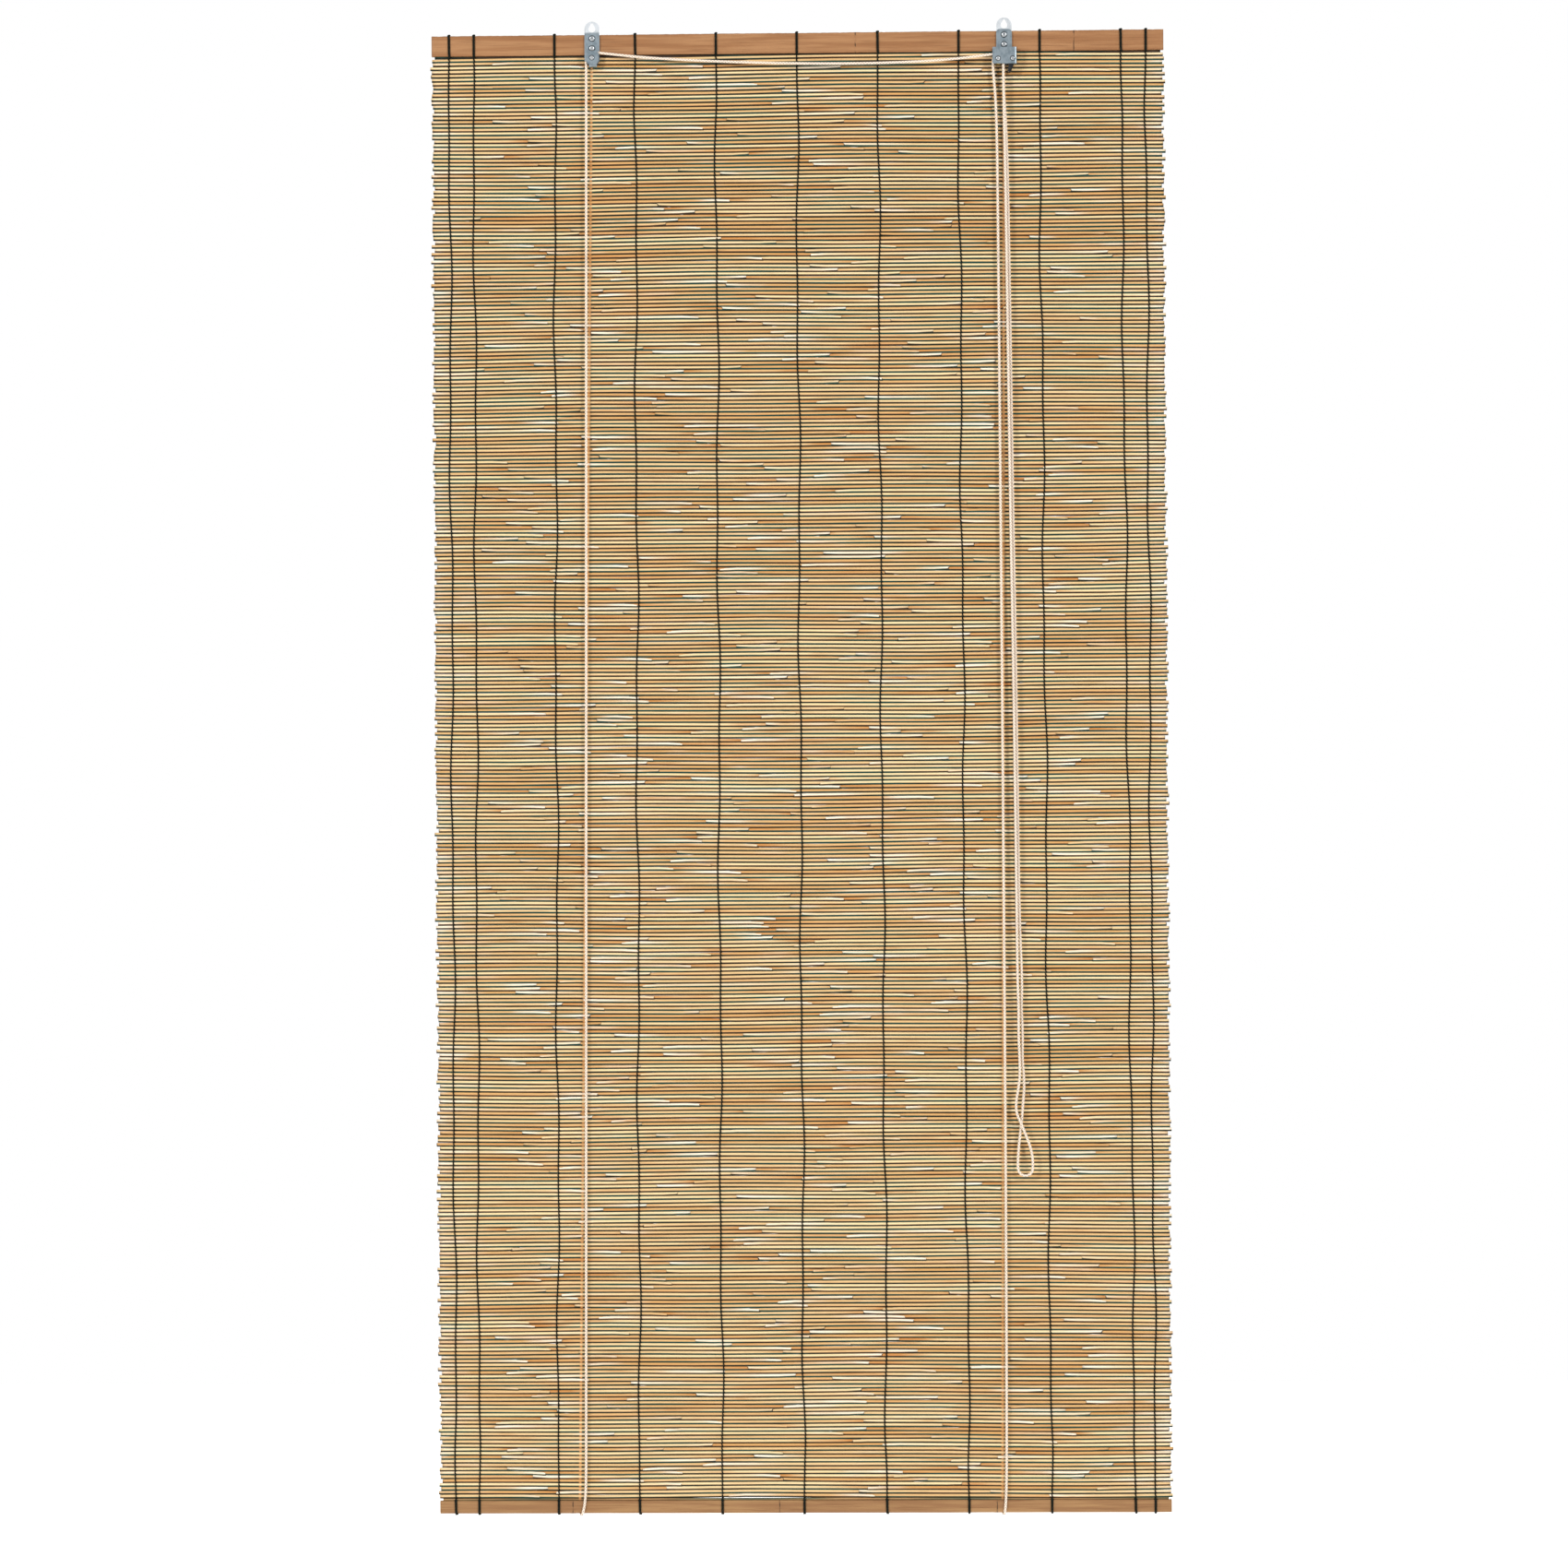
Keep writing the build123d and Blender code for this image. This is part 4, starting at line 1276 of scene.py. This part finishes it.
        # The ball's ends stay a little open, so that they close with a small flat cap.
        girth = self.knot_radius * np.sqrt(np.clip(1.02 - u**2, 0.02, 1))
        surface.add_rings(rings_round(spines, girth, self.knot_sides, UPWARDS), lengths_along(spines))
        dress(surface.to_object(f"{rail}_wraps", material), body, [f"{rail}_lashings"])

    def build(self) -> None:
        """Makes the threads and the lashings."""
        material = self.finish.build()
        self.build_warp(material)
        self.build_lashings("headrail", "root", self.top_xs_mm, material)
        self.build_lashings("bottom_rail", "bottom", self.bottom_xs_mm, material)


# Rails ----------------------------------------------------------------------------------------


@dataclass
class BambooRail:
    """A split bamboo slat with eased edges, a faintly rough top and a low ridge at each node."""

    node_name: str
    body: str
    lower_radius: float
    finish: SlatFinish
    upper_radius: float = 1.0 * MM
    stations: int = 300
    # The stations along each straight side lie near its ends and between, so that its shading stays flat.
    side_stations: tuple[float, ...] = (0.03, 0.25, 0.5, 0.75, 0.97)
    arc_stations: int = 5
    corners: tuple[tuple[int, int], ...] = ((1, 1), (-1, 1), (-1, -1), (1, -1))
    clearance: Pair = (0.1 * MM, 0.2 * MM)
    # The slat's swell: each wave's height, length over tau and slip from one side to the next.
    swells: tuple[Triple, Triple] = ((0.09 * MM, 0.045, 0.4), (0.09 * MM, 0.021, -0.8))
    roughness: float = 0.22 * MM
    upper_edge: float = 0.7  # how far up a side has to face to be rough
    ridge_height: float = 0.22 * MM
    ridge_width: float = 3.0 * MM
    seed: int = 5

    def outline(self, half_y: float, half_z: float) -> tuple[np.ndarray, np.ndarray]:
        """The slat's section and its outward normals: four corner arcs joined by straight sides.

        Args:
            half_y: Half the slat's thickness.
            half_z: Half its height.

        Returns:
            Points and normals, each as points by 2, for Y and Z, turning from +Y towards +Z.
        """
        arcs, facings = [], []
        for corner, (sign_y, sign_z) in enumerate(self.corners):
            radius = self.upper_radius if sign_z > 0 else self.lower_radius
            angles = np.radians(90 * corner + np.linspace(0, 90, self.arc_stations))
            facing = np.stack([np.cos(angles), np.sin(angles)], axis=-1)
            centre = np.array([sign_y * (half_y - radius), sign_z * (half_z - radius)])
            arcs.append(centre + radius * facing)
            facings.append(facing)
        share = np.array(self.side_stations)[:, None]
        points, normals = [], []
        for arc, following, facing in zip(arcs, arcs[1:] + arcs[:1], facings):
            side = arc[-1] * (1 - share) + following[0] * share
            points += [arc, side]
            normals += [facing, np.broadcast_to(facing[-1], side.shape)]
        return np.concatenate(points), np.concatenate(normals)

    def build(self) -> Piece:
        """Carries the section along the slat.

        The section moves out along its normals by a smooth wave, by a finer roughness on the upper edge, and
        by a bell curve at each node.

        Returns:
            The slat.
        """
        low, high = (np.array(corner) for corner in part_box(self.node_name))
        middle, half = (low + high) / 2, (high - low) / 2
        points, normals = self.outline(half[1] - self.clearance[0], half[2] - self.clearance[1])
        x = np.linspace(low[0], high[0], self.stations)[:, None]
        draw = np.random.default_rng(self.seed)
        place = np.arange(len(points))[None, :]
        out = sum(wave(x, place, *values) for values in self.swells)
        rough = draw.uniform(-self.roughness, self.roughness, (self.stations, len(points)))
        out = out + rough * (normals[:, 1] > self.upper_edge)
        for node_place in self.finish.node_places_mm:
            out = out + self.ridge_height * np.exp(-(((x - node_place * MM) / self.ridge_width) ** 2))
        y = middle[1] + points[:, 0] + normals[:, 0] * out
        z = middle[2] + points[:, 1] + normals[:, 1] * out
        rings = np.stack(np.broadcast_arrays(x, y, z), axis=-1)[None]
        surface = Surface()
        surface.add_rings(rings, (x[:, 0] - low[0])[None])
        piece = surface.to_object(f"{self.node_name}_slat", self.finish.build())
        return dress(piece, self.body, [self.node_name])


# Cords ----------------------------------------------------------------------------------------

LEFT_LIFT_ROUTE = (
    (-0.280, 0.00605, -0.024),
    (-0.3080, 0.00605, -2.0193),
    (-0.3083, 0.00605, -2.04035),
    (-0.3050, -0.00605, -2.04035),
    (-0.3007, -0.0062, -2.021),
    (-0.2996, -0.0063, -1.985),
    (-0.2992, -0.0065, -1.925),
    (-0.2893, -0.0085, -0.285),
    (-0.2880, -0.00895, -0.084),
    (-0.2880, -0.00895, -0.056),
)
RIGHT_LIFT_ROUTE = (
    (0.283, 0.00605, -0.024),
    (0.2695, 0.00605, -2.0193),
    (0.2694, 0.00605, -2.04035),
    (0.2724, -0.00605, -2.04035),
    (0.2745, -0.0062, -2.012),
    (0.2755, -0.0065, -1.940),
    (0.2763, -0.0071, -1.538),
    (0.2752, -0.0080, -0.900),
    (0.2732, -0.0087, -0.205),
    (0.2714, -0.0089, -0.110),
    (0.2677, -0.00895, -0.072),
    (0.2677, -0.00895, -0.048),
    (0.2817, -0.00895, -0.048),
    (0.2817, -0.00895, -0.066),
)
CROSS_ROUTE = (
    (-0.2880, -0.00895, -0.056),
    (-0.2880, -0.00895, -0.03903),
    (-0.2711, -0.00905, -0.0410),
    (-0.210, -0.0094, -0.0480),
    (-0.150, -0.0098, -0.0522),
    (-0.090, -0.0103, -0.0554),
    (-0.030, -0.0109, -0.0577),
    (0.035, -0.0115, -0.0591),
    (0.100, -0.0122, -0.0593),
    (0.160, -0.0129, -0.0580),
    (0.215, -0.01415, -0.0549),
    (0.2629, -0.01415, -0.0493),
    (0.2817, -0.01415, -0.04714),
    (0.2817, -0.01415, -0.0600),
    (0.2817, -0.01415, -0.0660),
)
PULL_ROUTE = (
    (0.2817, -0.01415, -0.0660),
    (0.2817, -0.01415, -0.0960),
    (0.2826, -0.0140, -0.1500),
    (0.2840, -0.0139, -0.2500),
    (0.2856, -0.0137, -0.4300),
    (0.2879, -0.0134, -0.6830),
    (0.2907, -0.0132, -0.9000),
    (0.2922, -0.0130, -1.1000),
    (0.2933, -0.0129, -1.2360),
    (0.2937, -0.0129, -1.3120),
    (0.2950, -0.0128, -1.3480),
    (0.2946, -0.0128, -1.3840),
    (0.2960, -0.0128, -1.4200),
    (0.2963, -0.0127, -1.4400),
    (0.2940, -0.0127, -1.4590),
    (0.2906, -0.0127, -1.4760),
    (0.2910, -0.0127, -1.4920),
    (0.2974, -0.0128, -1.5060),
    (0.3034, -0.0129, -1.5210),
    (0.3084, -0.0127, -1.5340),
    (0.3118, -0.0126, -1.5460),
    (0.3131, -0.0124, -1.5580),
    (0.3132, -0.0120, -1.5700),
    (0.3094, -0.0114, -1.5760),
    (0.3030, -0.0107, -1.5780),
    (0.2966, -0.0099, -1.5760),
    (0.2928, -0.0092, -1.5700),
    (0.2929, -0.0088, -1.5580),
    (0.2936, -0.0086, -1.5450),
    (0.2952, -0.0085, -1.5280),
    (0.2979, -0.0086, -1.5080),
    (0.2998, -0.0085, -1.4840),
    (0.3020, -0.0086, -1.4600),
    (0.3014, -0.0086, -1.4380),
    (0.2995, -0.0085, -1.4200),
    (0.3004, -0.0086, -1.3840),
    (0.2986, -0.0086, -1.3480),
    (0.3001, -0.0087, -1.3120),
    (0.2969, -0.0086, -1.2360),
    (0.2956, -0.0087, -1.1000),
    (0.2942, -0.0086, -0.9000),
    (0.2915, -0.0087, -0.6830),
    (0.2892, -0.0086, -0.4300),
    (0.2874, -0.0087, -0.2500),
    (0.2854, -0.0088, -0.1500),
    (0.2817, -0.00895, -0.0960),
    (0.2817, -0.00895, -0.0660),
)


@dataclass
class BlindCords:
    """One braided cord in four lengths: two lift cords, the run across the headrail and the pull loop."""

    layout: MatLayout
    finish: BraidFinish = BraidFinish()
    diameter: float = 3.5 * MM
    sides: int = 12
    cross_length: float = 0.5985
    pull_length: float = 3.0398
    bands_wrapped: int = 3  # how many upper bands the front run is cut at
    gather_height: float = -0.075  # the height of the anchor handed to gather for the front run
    front_share: float = 0.003  # the share of the front run handed to gather
    stack_share: float = 0.025  # the share of the rear run handed to gather
    sheave_height: float = -0.09  # above which the cord turns over a sheave
    knot_size: float = 0.75 * MM
    knot_offset: float = 2.0 * MM
    knot_cord_radius: float = 1.55 * MM
    knot_stations: int = 72
    knot_sides: int = 8
    spline_steps: int = 14

    def spline_points(self, name: str, route: Route) -> np.ndarray:
        """The line of a NURBS spline with the route's points as its control points.

        Args:
            name: The spline's name while it is made.
            route: The control points.

        Returns:
            The spline's own points, as points by 3.
        """
        curve = bpy.data.curves.new(name, "CURVE")
        curve.dimensions = "3D"
        spline = curve.splines.new("NURBS")
        spline.points.add(len(route) - 1)
        for point, place in zip(spline.points, route):
            point.co = (*place, 1.0)
        spline.order_u = 3
        spline.use_endpoint_u = True
        curve.resolution_u = self.spline_steps
        line = link_object(name, curve)
        mesh = bpy.data.meshes.new_from_object(line)
        points = np.empty(len(mesh.vertices) * 3)
        mesh.vertices.foreach_get("co", points)
        bpy.data.objects.remove(line)
        bpy.data.meshes.remove(mesh)
        points = points.reshape(-1, 3)
        steps = np.linalg.norm(np.diff(points, axis=0), axis=1)
        return points[np.concatenate([[True], steps > TOUCHING])]

    def tube(self, name: str, points: np.ndarray, material: Material, reference: Triple = OUTWARDS) -> Piece:
        """A closed round tube along a line, with metres along it in its UV."""
        return tube_piece(name, points[None], self.diameter / 2, self.sides, reference, material)

    def build_free(self, node: str, route: Route, material: Material) -> None:
        """Args:
            node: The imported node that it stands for.
            route: The cord's route, from the point where it leaves the hardware.
            material: The cord's finish.
        """
        points = self.spline_points(f"{node}_line", route)
        piece = dress(self.tube(f"{node}_braid", points, material), "root", [node])

    @staticmethod
    def cut(points: np.ndarray, heights: Sequence[float]) -> list[np.ndarray]:
        """Cuts a line that climbs all the way.

        Args:
            points: The line's points, lowest first.
            heights: The heights to cut it at, lowest first.

        Returns:
            The pieces, lowest first, which share their end points.
        """
        ends = np.stack([np.interp(heights, points[:, 2], points[:, axis]) for axis in range(3)], axis=-1)
        bounds = [-math.inf, *heights, math.inf]
        pieces = []
        for place, (floor, ceiling) in enumerate(zip(bounds, bounds[1:])):
            inside = points[(points[:, 2] > floor + TOUCHING) & (points[:, 2] < ceiling - TOUCHING)]
            pieces.append(np.concatenate([ends[max(place - 1, 0) : place], inside, ends[place : place + 1]]))
        return pieces

    @staticmethod
    def gather(piece: Piece, run: np.ndarray, anchor: np.ndarray, keep: float) -> None:
        """Gives a piece its own mesh; it doesn't shorten the run."""
        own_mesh(piece)

    def build_front(self, node: str, climb: np.ndarray, material: Material) -> None:
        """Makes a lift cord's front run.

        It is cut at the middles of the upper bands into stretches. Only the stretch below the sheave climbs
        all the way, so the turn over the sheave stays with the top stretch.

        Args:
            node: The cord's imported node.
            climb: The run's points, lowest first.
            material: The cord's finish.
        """
        crest = int(np.argmax(climb[:, 2] > self.sheave_height))
        heights = [self.layout.middle_height(band) for band in range(self.bands_wrapped + 1, 0, -1)]
        pieces = self.cut(climb[: crest + 1], heights)
        top = np.concatenate([pieces[-1], climb[crest + 1 :]])
        dress(self.tube(f"{node}_top", top, material), "root", [node])
        for place, band in enumerate(range(self.bands_wrapped, 0, -1), start=1):
            piece = self.tube(f"{node}_wrap_{band}", pieces[place], material)
            self.layout.bend_at_hinge(dress(piece, None, [node]), band)
        run = pieces[0]
        lower = dress(self.tube(f"{node}_front", run, material), "root", [node])
        direction = unit(run[-1] - run[0])
        anchor = run[-1] + direction * (self.gather_height - run[-1][2]) / direction[2]
        self.gather(lower, run, anchor, self.front_share)

    def build_lift(self, side: str, route: Route, material: Material) -> None:
        """Makes a lift cord, which runs down behind the mat, under the bottom rail and up in front.

        The turn under the rail rides on the rail.

        Args:
            side: left or right.
            route: The cord's route.
            material: The cord's finish.
        """
        node = f"lift_cord_{side}"
        points = self.spline_points(f"{side}_lift_line", route)
        lowest = int(np.argmin(points[:, 2]))
        above = points[:, 2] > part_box("bottom_rail")[1][2]
        in_front = np.arange(len(points)) >= lowest
        rear, climb = points[above & ~in_front], points[above & in_front]
        self.build_front(node, climb, material)
        turn = np.concatenate([rear[-1:], points[~above], climb[:1]])
        dress(self.tube(f"{node}_turn", turn, material, ACROSS), "bottom", [node])
        back = dress(self.tube(f"{node}_rear", rear, material, ACROSS), "root", [node])
        self.gather(back, rear[::-1], rear[0], self.stack_share)
        self.build_knot(f"{node}_knot", np.array(route[0]), node, material)

    def build_knot(self, name: str, place: np.ndarray, node: str, material: Material) -> None:
        """Ties the stopper knot above a staple.

        A trefoil: with a the angle, across is sin a + 2 sin 2a, up is cos a - 2 cos 2a and out is -1.2 sin
        3a, times the knot's size, and the whole stands away from the rail by its offset.

        Args:
            name: The piece's name.
            place: The middle of the knot, before its offset.
            node: The cord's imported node.
            material: The cord's finish.
        """
        angle = np.linspace(0, math.tau, self.knot_stations, endpoint=False)[None, :]
        across = place[0] + self.knot_size * (np.sin(angle) + 2 * np.sin(2 * angle))
        up = place[2] + self.knot_size * (np.cos(angle) - 2 * np.cos(2 * angle))
        out = place[1] + self.knot_offset - 1.2 * self.knot_size * np.sin(3 * angle)
        paths = np.stack([across, out, up], axis=-1)
        closed = np.concatenate([paths, paths[:, :2]], axis=1)
        piece = tube_piece(name, closed, self.knot_cord_radius, self.knot_sides, OUTWARDS, material)
        dress(piece, "root", [node])

    def build(self) -> None:
        """Makes all four lengths of the cord."""
        material = self.finish.build()
        self.build_free("pull_cord", PULL_ROUTE, material)
        self.build_free("cross_cord", CROSS_ROUTE, material)
        self.build_lift("left", LEFT_LIFT_ROUTE, material)
        self.build_lift("right", RIGHT_LIFT_ROUTE, material)


# Hardware and studio --------------------------------------------------------------------------


@dataclass
class Hardware:
    """The pressed, turned and riveted steel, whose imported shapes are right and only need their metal."""

    frame: dict[str, Any]
    plated: tuple[str, ...] = ("left_hanger", "pulley_bracket", "lock_housing", "cord_staples")
    # Painted highlight: the right hanger takes the lighter copy of the zinc.
    plated_with_painted_highlight: tuple[str, ...] = ("right_hanger",)
    bright: tuple[str, ...] = ("pulley_axle", "lock_sheave_axle", "lock_cam_pin", "hardware_screws")
    turned: tuple[str, ...] = ("pulley_sheave", "lock_rear_sheave", "lock_front_sheave")
    blackened: tuple[str, ...] = ("lock_cam",)

    def build(self) -> None:
        """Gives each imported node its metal."""
        groups = (
            (self.plated, ZINC),
            (self.plated_with_painted_highlight, HIGHLIGHTED_ZINC),
            (self.bright, RIVET),
            (self.turned, BRASS),
            (self.blackened, BLACKENED),
        )
        for names, finish in groups:
            material = finish.build()
            for name in names:
                node = self.frame["nodes"][name]
                node.data.materials.clear()
                node.data.materials.append(material)
                log.info("%s wears %s", name, material.name)


@dataclass
class Studio:
    """The camera, soft lights on both sides and behind, the white surround and the pale floor."""

    target: Triple = (-0.0235, 0.0, -1.0417)
    distance: float = 7.145
    lens: float = 120.0
    yaw: float = 1.6  # degrees that the camera stands to the right
    roll: float = 0.34  # degrees that the camera tips over, its right side up
    farthest: float = 100.0
    # Each soft light's name, place, size and power.
    lights: tuple[tuple[str, Triple, float, float], ...] = (
        ("left_softbox", (-3.4, -4.0, 1.3), 0.9, 150.0),
        ("right_softbox", (3.4, -4.0, 1.3), 0.9, 150.0),
        ("rear_softbox", (0.6, 4.0, 1.3), 1.6, 170.0),
    )
    lit_point: Triple = (0.0, 0.0, -1.0)
    surround: float = 0.5
    floor_height: float = -2.32
    floor_reach: float = 4.0
    floor_stations: int = 9

    def build_camera(self) -> None:
        """Stands the camera in front of the blind and makes it the scene's."""
        camera = link_object("studio_camera", bpy.data.cameras.new("studio_camera"))
        camera.data.lens = self.lens
        camera.data.clip_end = self.farthest
        yaw = math.radians(self.yaw)
        x, y, z = self.target
        camera.location = (x + self.distance * math.sin(yaw), y - self.distance * math.cos(yaw), z)
        camera.rotation_mode = "XYZ"
        camera.rotation_euler = (math.radians(90), math.radians(self.roll), yaw)
        bpy.context.scene.camera = camera

    def build_light(self, name: str, place: Triple, size: float, power: float) -> None:
        """Hangs one square soft light, turned towards the middle of the blind.

        Args:
            name: The light's name.
            place: Where it hangs.
            size: The length of its side.
            power: Its power in watts.
        """
        light = bpy.data.lights.new(name, "AREA")
        light.size = size
        light.energy = power
        lamp = link_object(name, light)
        lamp.location = place
        lamp.visible_camera = False
        x, y, z = np.array(place) - np.array(self.lit_point)
        lamp.rotation_euler = (math.atan2(math.hypot(x, y), z), 0.0, math.atan2(x, -y))

    def build_surround(self) -> None:
        """Makes the world, which lights the blind softly and is plain white where it is seen."""
        world = bpy.data.worlds.new("white_surround")
        world.use_nodes = True
        tree = world.node_tree
        tree.nodes.clear()
        seen = add_node(tree, "LightPath").outputs["Is Camera Ray"]
        soft = add_node(tree, "Background", {"Color": WHITE, "Strength": self.surround})
        plain = add_node(tree, "Background", {"Color": WHITE, "Strength": 1.0})
        both = add_node(tree, "MixShader", {0: seen, 1: soft.outputs[0], 2: plain.outputs[0]})
        add_node(tree, "OutputWorld", {"Surface": both.outputs[0]})
        bpy.context.scene.world = world
        bpy.context.scene.view_settings.view_transform = "Standard"

    def build_floor(self) -> None:
        """Lays the floor, a flat square grid."""
        count = self.floor_stations
        grid = np.linspace(-self.floor_reach, self.floor_reach, count)
        x, y = np.meshgrid(grid, grid)
        points = np.stack([x, y, np.full_like(x, self.floor_height)], axis=-1).reshape(-1, 3)
        index = np.arange(count * count).reshape(count, count)
        faces = np.stack([index[:-1, :-1], index[:-1, 1:], index[1:, 1:], index[1:, :-1]], axis=-1)
        mesh = bpy.data.meshes.new("studio_floor")
        mesh.from_pydata(points.tolist(), [], faces.reshape(-1, 4).tolist())
        mesh.materials.append(FloorFinish().build())
        link_object("studio_floor", mesh)

    def build(self) -> None:
        """Makes the camera, the lights, the surround and the floor."""
        self.build_camera()
        for light in self.lights:
            self.build_light(*light)
        self.build_surround()
        self.build_floor()


def main() -> None:
    """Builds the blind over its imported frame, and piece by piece."""
    logging.basicConfig(level=logging.INFO, format="%(name)s: %(message)s")
    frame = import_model()
    Studio().build()
    layout = MatLayout()
    log.info("the mat has %d rows", layout.rows)
    BlindCords(layout).build()
    ReedMat(layout).build()
    Twine(layout).build()
    BambooRail("headrail", "root", lower_radius=1.0 * MM, finish=SlatFinish()).build()
    bottom_finish = SlatFinish("a17a50", "8f6742", node_places_mm=(-318.0, -35.0, 262.0))
    BambooRail("bottom_rail", "bottom", lower_radius=3.6 * MM, finish=bottom_finish, seed=9).build()
    Hardware(frame).build()


if __name__ == "__main__":
    main()
